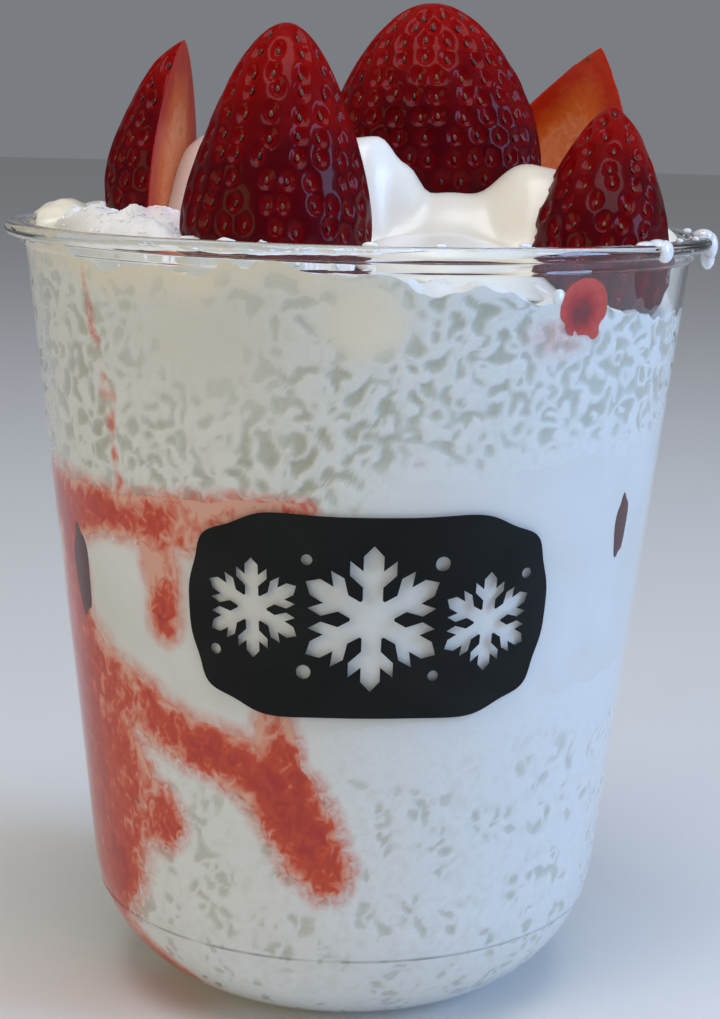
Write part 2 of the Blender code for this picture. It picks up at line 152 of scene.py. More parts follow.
# Places on the wall where the sauce is thin or thick: angle, height, radius and change of depth
SAUCE_DEPTHS = (
    (-20.0, 73.0, 11.0, -0.55), (-36.0, 66.5, 3.2, -0.75), (-47.0, 45.0, 6.5, -0.4),
    (-13.0, 46.0, 4.0, -0.45), (-46.0, 31.0, 5.0, -0.3), (-70.0, 38.0, 9.0, 0.35),
    (-6.0, 30.0, 4.5, 0.3), (-25.0, 43.5, 3.5, 0.3), (-36.0, 59.5, 2.5, 0.15),
    (-66.0, 20.0, 7.0, 0.2), (-60.0, 71.5, 4.0, 0.1),
)

# Loose flakes thrown over the plan, of which those on bare ice are kept, and the place where juice has
# dyed the ice pink
LOOSE_FLAKES = 4200
PINK_PLACE = (-26.5, -15.0)

# Condensed milk on the rim: angle, reach and height of each drop, then its half sizes
RIM_DROPS = (
    (53.2, 48.5, 107.6, 1.55, 0.95, 1.45), (52.4, 47.7, 108.4, 1.9, 1.1, 0.75),
    (49.8, 47.4, 108.5, 1.9, 0.9, 0.45), (86.0, 47.9, 108.3, 1.5, 1.5, 1.0),
    (86.0, 48.9, 107.0, 1.45, 1.1, 1.9), (86.4, 48.7, 105.4, 1.2, 1.0, 1.7),
    (72.0, 47.2, 108.5, 0.6, 0.5, 0.35), (97.0, 47.3, 108.5, 0.7, 0.6, 0.4),
    (2.0, 46.2, 108.5, 1.0, 0.6, 0.45), (12.5, 46.0, 108.5, 0.8, 0.6, 0.4),
    (26.0, 46.1, 108.6, 0.9, 0.6, 0.4), (64.0, 46.6, 108.5, 0.55, 0.5, 0.35),
    (33.6, 44.75, 102.2, 1.0, 0.35, 1.1),
)

# The printed label: turn from the front in degrees, height of its middle and half sizes
LABEL_TURN = 4.2
LABEL_HEIGHT = 61.9
LABEL_HALF_WIDTH = 23.8
LABEL_HALF_HEIGHT = 13.5
INK_THICKNESS = 0.03
# Snow crystals left clear in it: middle and reach. One edge of an arm, as shares of the reach: aside and out.
CRYSTALS = ((0.0, 0.0, 9.6), (-15.2, 0.8, 6.6), (15.2, -0.8, 6.6))
CRYSTAL_EDGE = (
    (0.13, 0.26), (0.13, 0.44), (0.30, 0.60), (0.30, 0.80), (0.13, 0.66), (0.13, 0.86), (0.0, 1.0),
)
# Clear dots between the crystals: middle and radius
LABEL_DOTS = (
    (-8.6, -7.2, 0.95), (8.6, 7.2, 0.95), (-8.2, 7.6, 0.7),
    (8.2, -7.6, 0.7), (-20.4, -5.2, 0.7), (20.4, 5.2, 0.7),
)

# Lights: name, place, what it points at and size in metres, power in watts and colour
LAMPS = (
    ("window_right", (0.85, -0.25, 0.42), (0, 0, 0.07), (0.32, 0.6), 6.8, "#A8CBFF"),
    ("room_left", (-0.7, -0.6, 0.35), (0, 0, 0.07), (0.5, 0.5), 2.3, "#FAE0AC"),
    ("overhead", (0.0, -0.22, 0.95), (0, 0, 0.1), (0.6, 0.6), 4.8, "#F8F9FF"),
)

# Chance, the same at every run: the noise's slopes, and where loose things lie
CHANCE = np.random.default_rng(7)
SLOPES = CHANCE.normal(size=(256, 3))
SLOPES /= np.linalg.norm(SLOPES, axis=1)[:, None]
SHUFFLED = CHANCE.permutation(256)


def wall_radius(height, inset):
    """Radius at a height of a skin that lies inset within the cup's outer face."""
    height = np.asarray(height, float)
    arc = HEEL_RADIUS - inset
    straight = WALL_TOP_RADIUS + WALL_SLOPE * (height - WALL_TOP_HEIGHT) - inset / math.cos(HALF_ANGLE)
    drop = np.clip(HEEL_RADIUS - height, 0.0, arc)
    heel = HEEL_CENTRE_RADIUS + np.sqrt(arc * arc - drop * drop)
    return np.where(height > HEEL_RADIUS - arc * math.sin(HALF_ANGLE), straight, heel)


def heel_points(inset, count):
    """The heel's arc from the flat foot up to where the straight wall begins."""
    arc = HEEL_RADIUS - inset
    turns = [(math.pi / 2 - HALF_ANGLE) * i / count for i in range(count + 1)]
    return [(HEEL_CENTRE_RADIUS + arc * math.sin(a), HEEL_RADIUS - arc * math.cos(a)) for a in turns]


def smooth_step(low, high, value):
    t = np.clip((value - low) / (high - low), 0.0, 1.0)
    return t * t * (3 - 2 * t)


def waves(x, y, size, seed):
    """Uneven swells between about -1 and 1, some `size` millimetres across."""
    total = 0.0
    for i in range(4):
        turn = seed * 1.7 + i * 2.4
        reach = size * (0.75 + 0.28 * i)
        along = x * math.cos(turn) + y * math.sin(turn)
        total = total + np.sin(2 * math.pi * along / reach + seed * (i + 1.3)) / 2.6
    return total


def grain(points, size, seed=0.0):
    """Smooth noise between about -1 and 1, whose lumps are about `size` millimetres across."""
    spots = np.asarray(points, float) / size + np.array([3.1, 7.7, 1.3]) * seed
    cell = np.floor(spots).astype(int)
    within = spots - cell
    fade = within**3 * (within * (within * 6 - 15) + 10)
    total = np.zeros(len(spots))
    for corner in itertools.product((0, 1), repeat=3):
        x, y, z = ((cell + corner) & 255).T
        slope = SLOPES[SHUFFLED[(SHUFFLED[(SHUFFLED[x] + y) & 255] + z) & 255]]
        share = np.prod(np.where(np.array(corner) == 1, fade, 1 - fade), axis=1)
        total += share * np.sum(slope * (within - corner), axis=1)
    return 1.5 * total


def warped(points, size, reach, seed):
    """The points pushed about by noise, so that what is drawn on them curls."""
    push = np.stack([grain(points, size, seed + i) for i in (0.0, 5.3, 9.1)], 1)
    return points + push * reach


def ragged(x, y, size, seed):
    """Small unevenness of a height over the plan."""
    x, y = np.asarray(x, float), np.asarray(y, float)
    return grain(np.stack([x.ravel(), y.ravel(), np.zeros(x.size)], 1), size, seed).reshape(x.shape)


def lower_ice_top(x, y):
    return LOWER_ICE_TOP + 0.115 * x + 0.9 * waves(x, y, 24, 1) + 0.7 * ragged(x, y, 2.6, 31.0)


def milk_top(x, y):
    rise = smooth_step(-8.0, 10.0, x + 2.5 * waves(y, x, 34, 2))
    lean = 0.04 * x + 0.7 * waves(x, y, 19, 3) + 0.9 * ragged(x, y, 2.4, 37.0)
    return MILK_TOP_LEFT + (MILK_TOP_RIGHT - MILK_TOP_LEFT) * rise + lean


def sauce_band(x, y):
    """How thick the sauce lies on the milk: it thins out just before the wall, where the runs take over."""
    reach = wall_radius(milk_top(x, y), SAUCE_INSET) - 0.6
    thick = SAUCE_BAND_TOP + 0.9 * waves(x, y, 15, 4) - milk_top(x, y) - GAP
    return np.where(x < 14.0, np.minimum(thick, 3.0 * (reach - np.hypot(x, y))), -1.0)


def ice_bed(x, y):
    """The upper ice's surface without its small lumps."""
    right = np.maximum(x, 0.0)
    surface = UPPER_ICE_TOP - 0.085 * x - 0.0016 * right * right
    heap = 3.6 * np.exp(-((x + 30.0) ** 2 + (y + 16.0) ** 2) / 150.0)
    front_left = 1.6 * np.exp(-((x + 12.0) ** 2 + (y + 38.0) ** 2) / 160.0)
    edge = 3.0 * smooth_step(38.0, 45.0, np.hypot(x, y)) * smooth_step(0.0, -30.0, x)
    return surface + heap + front_left - edge


def upper_ice_top(x, y):
    return ice_bed(x, y) + 0.75 * waves(x, y, 8.5, 5) + 0.35 * waves(x, y, 4.2, 6)


def snow_relief(points):
    """Small fluffy lumps of the shavings on top."""
    lumps = 1.1 * grain(points, 4.2, 2.0) + 0.3 * grain(points, 1.3, 8.0)
    return 0.45 * curls(points, ICE_CURL_SIZE, ICE_CURL_SEED) + lumps - 0.3


def run_thickness(along, height, run):
    """Thickness of one run of sauce: a rounded ridge round a line of points with changing width."""
    best = np.full(np.shape(along), -9.0)
    ends = [(math.radians(angle) * WRAP_RADIUS, z, half) for angle, z, half in run]
    for (a0, z0, w0), (a1, z1, w1) in zip(ends, ends[1:]):
        da, dz = a1 - a0, z1 - z0
        t = np.clip(((along - a0) * da + (height - z0) * dz) / (da * da + dz * dz), 0.0, 1.0)
        half = w0 + (w1 - w0) * t
        away = np.hypot(along - a0 - da * t, height - z0 - dz * t) / half
        best = np.maximum(best, (0.35 * half + 0.8) * (1.0 - away * away))
    return best


def sauce_on_wall(along, height):
    wobble = 0.35 * waves(along, height, 7.0, 7) + 0.2 * waves(along, height, 3.6, 8)
    return np.max([run_thickness(along, height, run) for run in SAUCE_RUNS], axis=0) + wobble


def cream_top(x, y):
    """Soft union of the swells."""
    total = 0.0
    for cx, cy, rx, ry, top in CREAM_SWELLS + CREAM_FOLDS:
        away = ((x - cx) / rx) ** 2 + ((y - cy) / ry) ** 2
        total = total + ((top - 100.0) * np.exp(-(away**1.6) * 0.9)) ** 5
    return 98.5 + total**0.2 * 1.06


def new_mesh(name, bm, materials, sharp=None):
    """A finished piece: in metres, at the origin, smooth but for corners over `sharp` degrees."""
    mesh = bpy.data.meshes.new(name)
    bm.to_mesh(mesh)
    bm.free()
    mesh.transform(Matrix.Scale(MM, 4))
    mesh.shade_smooth()
    if sharp:
        mesh.set_sharp_from_angle(angle=math.radians(sharp))
    for finish in materials:
        mesh.materials.append(finish)
    piece = bpy.data.objects.new(name, mesh)
    bpy.context.scene.collection.objects.link(piece)
    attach(piece, "root")
    return piece


def face_out(bm):
    bmesh.ops.recalc_face_normals(bm, faces=bm.faces[:])
    if bm.calc_volume(signed=True) < 0:
        bmesh.ops.reverse_faces(bm, faces=bm.faces[:])


def places(bm):
    return np.array([vert.co[:] for vert in bm.verts])


def move_to(bm, points):
    for vert, point in zip(bm.verts, points):
        vert.co = point


def mark(bm, name, values):
    """Stores one number for each vertex, for the material to read."""
    layer = bm.verts.layers.float.new(name)
    for vert, value in zip(bm.verts, values):
        vert[layer] = value


def spun(points, spokes):
    """A closed solid turned from a profile that starts and ends on the axis."""
    bm = bmesh.new()
    verts = [bm.verts.new((r, 0.0, z)) for r, z in points]
    edges = [bm.edges.new(pair) for pair in zip(verts, verts[1:])]
    full = 2 * math.pi
    bmesh.ops.spin(
        bm, geom=verts + edges, cent=(0, 0, 0), axis=(0, 0, 1), angle=full, steps=spokes, use_merge=True
    )
    bmesh.ops.remove_doubles(bm, verts=bm.verts[:], dist=1e-4)
    return bm


def filling(bottom, top, inset, spokes, side_rows, top_rings, bottom_rings):
    """A solid between two uneven heights that fills the cup out to its wall.

    Returns it with two shares for each point: how far out it lies, and how far up.
    """
    levels = [i / side_rows for i in range(side_rows + 1)]
    points = [(0.0, 0.0)] + [((i + 1) / (bottom_rings + 1), 0.0) for i in range(bottom_rings)]
    points += [(1.0, v) for v in levels]
    points += [(1.0 - (i + 1) / (top_rings + 1), 1.0) for i in range(top_rings)] + [(0.0, 1.0)]
    bm = spun(points, spokes)
    x, y, level = places(bm).T
    reach = np.full(len(x), 40.0)
    for _ in range(6):
        low, high = bottom(x * reach, y * reach), top(x * reach, y * reach)
        height = low + (high - low) * level
        reach = wall_radius(height, inset)
    move_to(bm, np.stack([x * reach, y * reach, height], 1))
    return bm, np.hypot(x, y), level


def patch(thickness, top, base, low, high, cell):
    """A solid where thickness(a, b) is above zero over an area, between two placing rules."""
    spans = [h - l for l, h in zip(low, high)]
    counts = [round(span / cell) for span in spans]
    bm = bmesh.new()
    bmesh.ops.create_grid(bm, x_segments=counts[0], y_segments=counts[1], size=0.5)
    flat = places(bm)
    a, b = (low[i] + (flat[:, i] + 0.5) * spans[i] for i in range(2))
    above = thickness(a, b)
    clear = np.where(np.abs(above) > 0.02, above, np.copysign(0.02, above))
    move_to(bm, np.stack([a, b, clear], 1))
    whole = bm.verts[:] + bm.edges[:] + bm.faces[:]
    bmesh.ops.bisect_plane(bm, geom=whole, plane_co=(0, 0, 0), plane_no=(0, 0, 1), clear_inner=True)
    grown = bmesh.ops.extrude_face_region(bm, geom=bm.faces[:], use_keep_orig=True)
    raised = {vert for vert in grown["geom"] if isinstance(vert, bmesh.types.BMVert)}
    is_raised = np.array([vert in raised for vert in bm.verts])[:, None]
    spots = places(bm).T
    move_to(bm, np.where(is_raised, np.stack(top(*spots), 1), np.stack(base(*spots), 1)))
    face_out(bm)
    return bm


def copies(template, placings):
    """One small mesh many times over, each with its own placing."""
    bm = bmesh.new()
    for _ in placings:
        bm.from_mesh(template)
    corners = np.array([tuple(vert.co) + (1.0,) for vert in template.vertices])
    move_to(bm, np.concatenate([corners @ np.array(placing).T[:, :3] for placing in placings]))
    return bm


def join(bm, other):
    """Adds another piece's faces to this one."""
    between = bpy.data.meshes.new("between")
    other.to_mesh(between)
    other.free()
    bm.from_mesh(between)
    bpy.data.meshes.remove(between)


def small_ball(level, material=0):
    """A template for small repeated things: a ball of few faces."""
    bm = bmesh.new()
    bmesh.ops.create_icosphere(bm, subdivisions=level, radius=1.0)
    for face in bm.faces:
        face.material_index = material
    template = bpy.data.meshes.new("template")
    bm.to_mesh(template)
    bm.free()
    return template


def on_wall(along, height, depth, inset):
    """Points that lie depth within a skin of the wall."""
    angle = along / WRAP_RADIUS
    reach = wall_radius(height, inset) - depth
    return reach * np.sin(angle), -reach * np.cos(angle), height


def linear(code):
    """An sRGB hex colour as the linear values that Blender takes."""
    values = [int(code[i : i + 2], 16) / 255 for i in (1, 3, 5)]
    return [v / 12.92 if v <= 0.04045 else ((v + 0.055) / 1.055) ** 2.4 for v in values] + [1.0]


def add(tree, kind, inputs=None, **settings):
    """Adds a node with its settings, values and links."""
    made = tree.nodes.new("ShaderNode" + kind)
    for name, value in settings.items():
        setattr(made, name, value)
    for name, value in (inputs or {}).items():
        socket = made.inputs[name]
        if isinstance(value, bpy.types.NodeSocket):
            tree.links.new(value, socket)
        else:
            socket.default_value = value
    return made


def surface(name, **values):
    """A new material with its Principled shader and the object's own coordinates."""
    made = bpy.data.materials.new(name)
    made.use_nodes = True
    tree = made.node_tree
    shader = tree.nodes["Principled BSDF"]
    for socket, value in values.items():
        shader.inputs[socket.replace("_", " ")].default_value = value
    where = add(tree, "TexCoord").outputs["Object"]
    return made, tree, shader, where


def stirred(tree, pattern, amount, value):
    """The value made uneven by a pattern, which takes it up and down by half the amount."""
    about = add(tree, "Math", {0: pattern, 1: 0.5}, operation="SUBTRACT")
    mixed = add(tree, "Math", {0: about.outputs[0], 1: amount, 2: value}, operation="MULTIPLY_ADD")
    return mixed.outputs[0]


def clouded(tree, where, size_mm, detail, pale, deep, reach=(0.35, 0.65), distortion=0.0):
    """Soft clouds of two close colours. reach is the part of the noise that goes from one to the other."""
    noise = {"Vector": where, "Scale": 1000 / size_mm, "Detail": detail, "Distortion": distortion}
    cloud = add(tree, "TexNoise", noise).outputs["Fac"]
    share = add(tree, "MapRange", {"Value": cloud, "From Min": reach[0], "From Max": reach[1]})
    mixed = add(tree, "Mix", {0: share.outputs[0], 6: linear(pale), 7: linear(deep)}, data_type="RGBA")
    return mixed.outputs[2]


def soaked(tree, food, pulp, patches, most, colour):
    """The food's colour dyed where sauce has soaked in, in patches that follow the pulp."""
    stain = add(tree, "Attribute", attribute_name="stain").outputs["Fac"]
    patchy = stirred(tree, pulp, patches, 1.0)
    seep = add(tree, "Math", {0: patchy, 1: stain}, operation="MULTIPLY").outputs[0]
    share = add(tree, "MapRange", {"Value": seep, "From Min": 0.05, "From Max": 1.05, "To Max": most})
    dyed = add(tree, "Mix", {0: share.outputs[0], 6: food, 7: linear(colour)}, data_type="RGBA")
    return dyed.outputs[2]


def small_relief(tree, shader, height, strength, distance):
    """Relief too fine to model, from a pattern. The distance is in metres."""
    bump = add(tree, "Bump", {"Height": height, "Strength": strength, "Distance": distance})
    tree.links.new(bump.outputs[0], shader.inputs["Normal"])


# Shaved ice: frost-white curls of ice that catch the light, with greyish melt between them.
# gap is 1 between curls, smooth where the ice has melted on the wall, ivory where cream lies against
# the wall, and stain is how much sauce has soaked in.
def shaved_ice(name, curl, melt, contrast, flake_mm):
    made, tree, shader, where = surface(name, Roughness=0.5, Specular_IOR_Level=0.25)
    gap = add(tree, "Attribute", attribute_name="gap").outputs["Fac"]
    noise = {"Vector": where, "Scale": 1000 / flake_mm, "Detail": 3.0, "Distortion": 0.8}
    flakes = add(tree, "TexNoise", noise).outputs["Fac"]
    edge = stirred(tree, flakes, contrast, gap)
    share = add(tree, "MapRange", {"Value": edge, "From Min": 0.0, "From Max": 1.15}).outputs[0]
    deep = clouded(tree, where, 14.0, 2.0, melt, "#C8C9BF")
    ice = add(tree, "Mix", {0: share, 6: linear(curl), 7: deep}, data_type="RGBA")
    smooth = add(tree, "Attribute", attribute_name="smooth").outputs["Fac"]
    hazy = add(tree, "Mix", {0: smooth, 6: ice.outputs[2], 7: linear("#DAD9D0")}, data_type="RGBA")
    ivory = add(tree, "Attribute", attribute_name="ivory").outputs["Fac"]
    creamy = add(tree, "Mix", {0: ivory, 6: hazy.outputs[2], 7: linear("#EEE6D2")}, data_type="RGBA")
    dyed = soaked(tree, creamy.outputs[2], flakes, 2.6, 0.9, "#D75F3C")
    tree.links.new(dyed, shader.inputs["Base Color"])
    sparkle = add(tree, "TexNoise", {"Vector": where, "Scale": 1000 / 0.7, "Detail": 2.0})
    small_relief(tree, shader, sparkle.outputs["Fac"], 0.15, 0.0003)
    return made


# Dry snow: fluffy shavings, white right through. Where light spreads in it, its shadows stay pale.
# damp is 1 where it has melted against the wall.
def dry_snow(name, spread):
    made, tree, shader, where = surface(
        name, Roughness=0.6, Specular_IOR_Level=0.2,
        Subsurface_Weight=spread, Subsurface_Radius=(1.0, 1.0, 1.0), Subsurface_Scale=0.0025,
    )
    snow = clouded(tree, where, 3.0, 3.0, "#FAFBFC", "#F0F1F2")
    damp = add(tree, "Attribute", attribute_name="damp").outputs["Fac"]
    wet = add(tree, "Mix", {0: damp, 6: snow, 7: linear("#BDBBAE")}, data_type="RGBA")
    stain = add(tree, "Attribute", attribute_name="stain").outputs["Fac"]
    dyed = add(tree, "Mix", {0: stain, 6: wet.outputs[2], 7: linear("#E08468")}, data_type="RGBA")
    tree.links.new(dyed.outputs[2], shader.inputs["Base Color"])
    fluff = add(tree, "TexNoise", {"Vector": where, "Scale": 1000 / 0.9, "Detail": 3.0})
    small_relief(tree, shader, fluff.outputs["Fac"], 0.35, 0.0004)
    return made


# Frozen milk: smooth and dense, faintly marbled, with sauce soaking in from its edges
def frozen_milk():
    made, tree, shader, where = surface("frozen_milk", Roughness=0.34, Specular_IOR_Level=0.25)
    milk = clouded(tree, where, 16.0, 3.0, "#E4E5E4", "#DDDDD9", (0.35, 0.68), 0.6)
    pulp = add(tree, "TexNoise", {"Vector": where, "Scale": 1000 / 1.6, "Detail": 3.0})
    dyed = soaked(tree, milk, pulp.outputs["Fac"], 2.2, 0.85, "#D96A48")
    tree.links.new(dyed, shader.inputs["Base Color"])
    return made


# Strawberry sauce: crushed fruit in syrup, clear orange-red where thick and salmon pink where it thins,
# mottled by pulp and flecked with seeds. depth is how thick it lies.
def fruit_sauce():
    made, tree, shader, where = surface("crushed_strawberry_sauce", Roughness=0.42, Specular_IOR_Level=0.2)
    depth = add(tree, "Attribute", attribute_name="depth").outputs["Fac"]
    drawn = add(tree, "Mapping", {"Vector": where, "Scale": (1.0, 1.0, 0.8)}).outputs[0]
    pulp = add(tree, "TexNoise", {"Vector": drawn, "Scale": 1000 / 1.7, "Detail": 5.0, "Distortion": 1.1})
    pools = add(tree, "TexNoise", {"Vector": drawn, "Scale": 1000 / 9.0, "Detail": 2.0, "Distortion": 0.5})
    mixed = stirred(tree, pulp.outputs["Fac"], 2.4, depth)
    mixed = stirred(tree, pools.outputs["Fac"], 1.8, mixed)
    thin = add(tree, "MapRange", {"Value": mixed, "From Min": -0.1, "From Max": 0.62}).outputs[0]
    pink = add(tree, "Mix", {0: thin, 6: linear("#E2A891"), 7: linear("#D2460F")}, data_type="RGBA")
    thick = add(tree, "MapRange", {"Value": mixed, "From Min": 0.5, "From Max": 1.3}).outputs[0]
    red = add(tree, "Mix", {0: thick, 6: pink.outputs[2], 7: linear("#B21C02")}, data_type="RGBA")
    specks = add(tree, "TexVoronoi", {"Vector": where, "Scale": 1000 / 4.5, "Randomness": 1.0})
    near = specks.outputs["Distance"]
    dark = add(tree, "MapRange", {"Value": near, "From Min": 0.13, "From Max": 0.05, "To Max": 0.7})
    seeded = add(tree, "Mix", {0: dark.outputs[0], 6: red.outputs[2], 7: linear("#7E1206")}, data_type="RGBA")
    tree.links.new(seeded.outputs[2], shader.inputs["Base Color"])
    small_relief(tree, shader, pulp.outputs["Fac"], 0.2, 0.0005)
    return made


# Strawberry juice: clear wet red, paler where it thins at its edge and dark red in the middle.
# depth is how thick it lies.
def strawberry_juice():
    made, tree, shader, where = surface("strawberry_juice", Roughness=0.25, Specular_IOR_Level=0.25)
    depth = add(tree, "Attribute", attribute_name="depth").outputs["Fac"]
    veins = add(tree, "TexNoise", {"Vector": where, "Scale": 1000 / 1.5, "Detail": 3.0, "Distortion": 1.0})
    mixed = stirred(tree, veins.outputs["Fac"], 0.9, depth)
    thin = add(tree, "MapRange", {"Value": mixed, "From Max": 0.5}).outputs[0]
    pale = add(tree, "Mix", {0: thin, 6: linear("#CE4433"), 7: linear("#B8180D")}, data_type="RGBA")
    thick = add(tree, "MapRange", {"Value": mixed, "From Min": 0.5, "From Max": 1.0}).outputs[0]
    red = add(tree, "Mix", {0: thick, 6: pale.outputs[2], 7: linear("#76060A")}, data_type="RGBA")
    tree.links.new(red.outputs[2], shader.inputs["Base Color"])
    return made


# Whipped cream with condensed milk: dense, glossy and smooth, ivory in its depth
def whipped_cream(name, pale, deep):
    made, tree, shader, where = surface(
        name, Roughness=0.3, Coat_Weight=0.25, Coat_Roughness=0.15,
        Subsurface_Weight=0.4, Subsurface_Radius=(1.0, 0.95, 0.85), Subsurface_Scale=0.003,
    )
    tree.links.new(clouded(tree, where, 20.0, 2.0, pale, deep), shader.inputs["Base Color"])
    pores = add(tree, "TexNoise", {"Vector": where, "Scale": 1000 / 1.1, "Detail": 2.0})
    small_relief(tree, shader, pores.outputs["Fac"], 0.08, 0.0003)
    return made


# Strawberry skin: very ripe and wet, dark crimson, clearer red in the dimples and towards the tip.
# dimple is 1 in a dimple, and ripe is 1 where the skin is darkest.
def berry_skin():
    made, tree, shader, where = surface(
        "strawberry_skin", Roughness=0.35, Specular_IOR_Level=0.03, Coat_Weight=0.11, Coat_Roughness=0.05,
    )
    dimple = add(tree, "Attribute", attribute_name="dimple").outputs["Fac"]
    ripe = add(tree, "Attribute", attribute_name="ripe").outputs["Fac"]
    blotch = add(tree, "TexNoise", {"Vector": where, "Scale": 1000 / 6.0, "Detail": 3.0})
    uneven = stirred(tree, blotch.outputs["Fac"], 0.9, ripe)
    share = add(tree, "MapRange", {"Value": uneven}).outputs[0]
    skin = add(tree, "Mix", {0: share, 6: linear("#8A0603"), 7: linear("#4A0008")}, data_type="RGBA")
    bright = add(tree, "MapRange", {"Value": dimple, "To Max": 0.5}).outputs[0]
    lit = add(tree, "Mix", {0: bright, 6: skin.outputs[2], 7: linear("#8E0204")}, data_type="RGBA")
    tree.links.new(lit.outputs[2], shader.inputs["Base Color"])
    film = add(tree, "TexNoise", {"Vector": where, "Scale": 1000 / 0.9, "Detail": 2.0})
    small_relief(tree, shader, film.outputs["Fac"], 0.12, 0.0003)
    return made


# Cut strawberry: watery red flesh, orange further in and paler towards the core, with fine strands across it.
# core is how far in a place lies.
def berry_flesh():
    made, tree, shader, where = surface(
        "strawberry_flesh", Roughness=0.35, Specular_IOR_Level=0.2, Coat_Weight=0.06, Coat_Roughness=0.15,
        Subsurface_Weight=0.2, Subsurface_Scale=0.003,
    )
    core = add(tree, "Attribute", attribute_name="core").outputs["Fac"]
    strands = add(tree, "TexNoise", {"Vector": where, "Scale": 1000 / 1.8, "Detail": 3.0, "Distortion": 1.5})
    share = stirred(tree, strands.outputs["Fac"], 0.6, core)
    inner = add(tree, "MapRange", {"Value": share, "From Min": 0.15, "From Max": 0.9}).outputs[0]
    flesh = add(tree, "Mix", {0: inner, 6: linear("#AE2205"), 7: linear("#D2601C")}, data_type="RGBA")
    middle = {"Value": share, "From Min": 0.8, "From Max": 1.25, "To Max": 0.75}
    pale = add(tree, "MapRange", middle).outputs[0]
    cored = add(tree, "Mix", {0: pale, 6: flesh.outputs[2], 7: linear("#EDA277")}, data_type="RGBA")
    tree.links.new(cored.outputs[2], shader.inputs["Base Color"])
    return made


# Seeds: dry straw-brown achenes, darkened by the wet skin
def berry_seed():
    made, tree, shader, where = surface("strawberry_seed", Roughness=0.35)
    tree.links.new(clouded(tree, where, 4.0, 1.0, "#36090A", "#6B3018"), shader.inputs["Base Color"])
    return made


# Clear cup plastic: thin and glassy. Lamps shine straight through it, as they do through the real wall.
# mould_line is 1 on the fine line that the mould leaves round the heel. There the plastic is painted dark
# grey in broken stretches: painted shade for the dark line that the ridge shows by refraction.
def clear_plastic():
    made, tree, shader, where = surface(
        "clear_cup_plastic", Roughness=0.03, IOR=1.49, Transmission_Weight=1.0,
    )
    tint = clouded(tree, where, 30.0, 2.0, "#FBFCFB", "#F4F6F4", (0.3, 0.7))
    line = add(tree, "Attribute", attribute_name="mould_line").outputs["Fac"]
    # Painted shade: a dark grey tint along the mould line, broken in places by noise
    line_breaks = add(tree, "TexNoise", {"Vector": where, "Scale": 1000 / 7.0, "Detail": 1.0})
    part = add(tree, "MapRange", {"Value": line_breaks.outputs["Fac"], "From Min": 0.2, "From Max": 0.6})
    painted_line_shade = add(tree, "Math", {0: line, 1: part.outputs[0]}, operation="MULTIPLY").outputs[0]
    line_shaded = add(tree, "Mix", {0: painted_line_shade, 6: tint, 7: linear("#7E8688")}, data_type="RGBA")
    tree.links.new(line_shaded.outputs[2], shader.inputs["Base Color"])
    ray = add(tree, "LightPath")
    through = add(tree, "BsdfTransparent", {"Color": linear("#F4F6F5")})
    lamp_rays = {0: ray.outputs["Is Shadow Ray"], 1: ray.outputs["Is Diffuse Ray"]}
    either = add(tree, "Math", lamp_rays, operation="MAXIMUM")
    mixed = add(tree, "MixShader", {0: either.outputs[0], 1: shader.outputs[0], 2: through.outputs[0]})
    tree.links.new(mixed.outputs[0], tree.nodes["Material Output"].inputs["Surface"])
    return made


# Screen print: one flat coat of near-black ink, slightly uneven in tone
def black_ink():
    made, tree, shader, where = surface("black_screen_print", Roughness=0.5, Specular_IOR_Level=0.15)
    tone = clouded(tree, where, 9.0, 3.0, "#0F1211", "#171B1A", (0.4, 0.7))
    tree.links.new(tone, shader.inputs["Base Color"])
    return made


# Condensed milk: thick glossy drops that cling to the rim
def condensed_milk():
    made, tree, shader, where = surface(
        "condensed_milk", Roughness=0.15, Coat_Weight=0.5, Coat_Roughness=0.08,
        Subsurface_Weight=0.2, Subsurface_Radius=(1.0, 0.95, 0.85), Subsurface_Scale=0.002,
    )
    tree.links.new(clouded(tree, where, 5.0, 1.0, "#F5F4F2", "#ECEBE6"), shader.inputs["Base Color"])
    return made


ICE = shaved_ice("shaved_ice", "#E4E6E3", "#B1B09A", 0.75, 1.3)
FINE_ICE = shaved_ice("fine_shaved_ice", "#E4E5E4", "#C6C3B0", 0.6, 1.1)
SNOW = dry_snow("dry_snow", 0.6)
LOOSE_SNOW = dry_snow("loose_dry_snow", 0.0)
MILK = frozen_milk()
SAUCE = fruit_sauce()
JUICE = strawberry_juice()
CREAM = whipped_cream("whipped_cream", "#FBF9F1", "#F7F2E4")
IVORY = whipped_cream("ivory_cream", "#F9F4E2", "#F3EBD2")
SKIN = berry_skin()
FLESH = berry_flesh()
SEED = berry_seed()
PLASTIC = clear_plastic()
INK = black_ink()
DROPS = condensed_milk()
SEED_BALL = small_ball(2, 2)
FLAKE_BALL = small_ball(2)


def stain_at(points):
    """How much sauce has soaked into the filling at these points of the wall."""
    along = np.arctan2(points[:, 0], -points[:, 1]) * WRAP_RADIUS
    spread = sauce_on_wall(along, points[:, 2])
    soaked = 0.85 * smooth_step(-4.2, 0.9, spread)
    thin = np.max([run_thickness(along, points[:, 2], run) for run in THIN_RUNS], axis=0)
    broken = 0.5 + 0.9 * grain(points, 2.2, 41.0)
    angle, height, radius = WET_PATCH
    right, up = along - math.radians(angle) * WRAP_RADIUS, points[:, 2] - height
    bled = 0.5 * np.exp(-(((right + 3.0) / 4.6) ** 2) - ((up + 3.4) / 2.6) ** 2)
    return np.maximum(soaked, np.clip(broken, 0.1, 0.9) * smooth_step(-0.4, 0.9, thin)) + bled


def curls(points, size, seed):
    """1 on a curl of ice and 0 between curls: bent shavings with rounder flakes among them."""
    bent = warped(points, size * 2.0, size * 0.5, seed)
    shavings = 0.9 - 0.9 * smooth_step(0.06, 0.36, np.abs(grain(bent, size * 1.6, seed)))
    flakes = smooth_step(-0.12, 0.24, grain(bent, size * 1.15, seed + 4.0))
    return np.maximum(shavings, flakes)


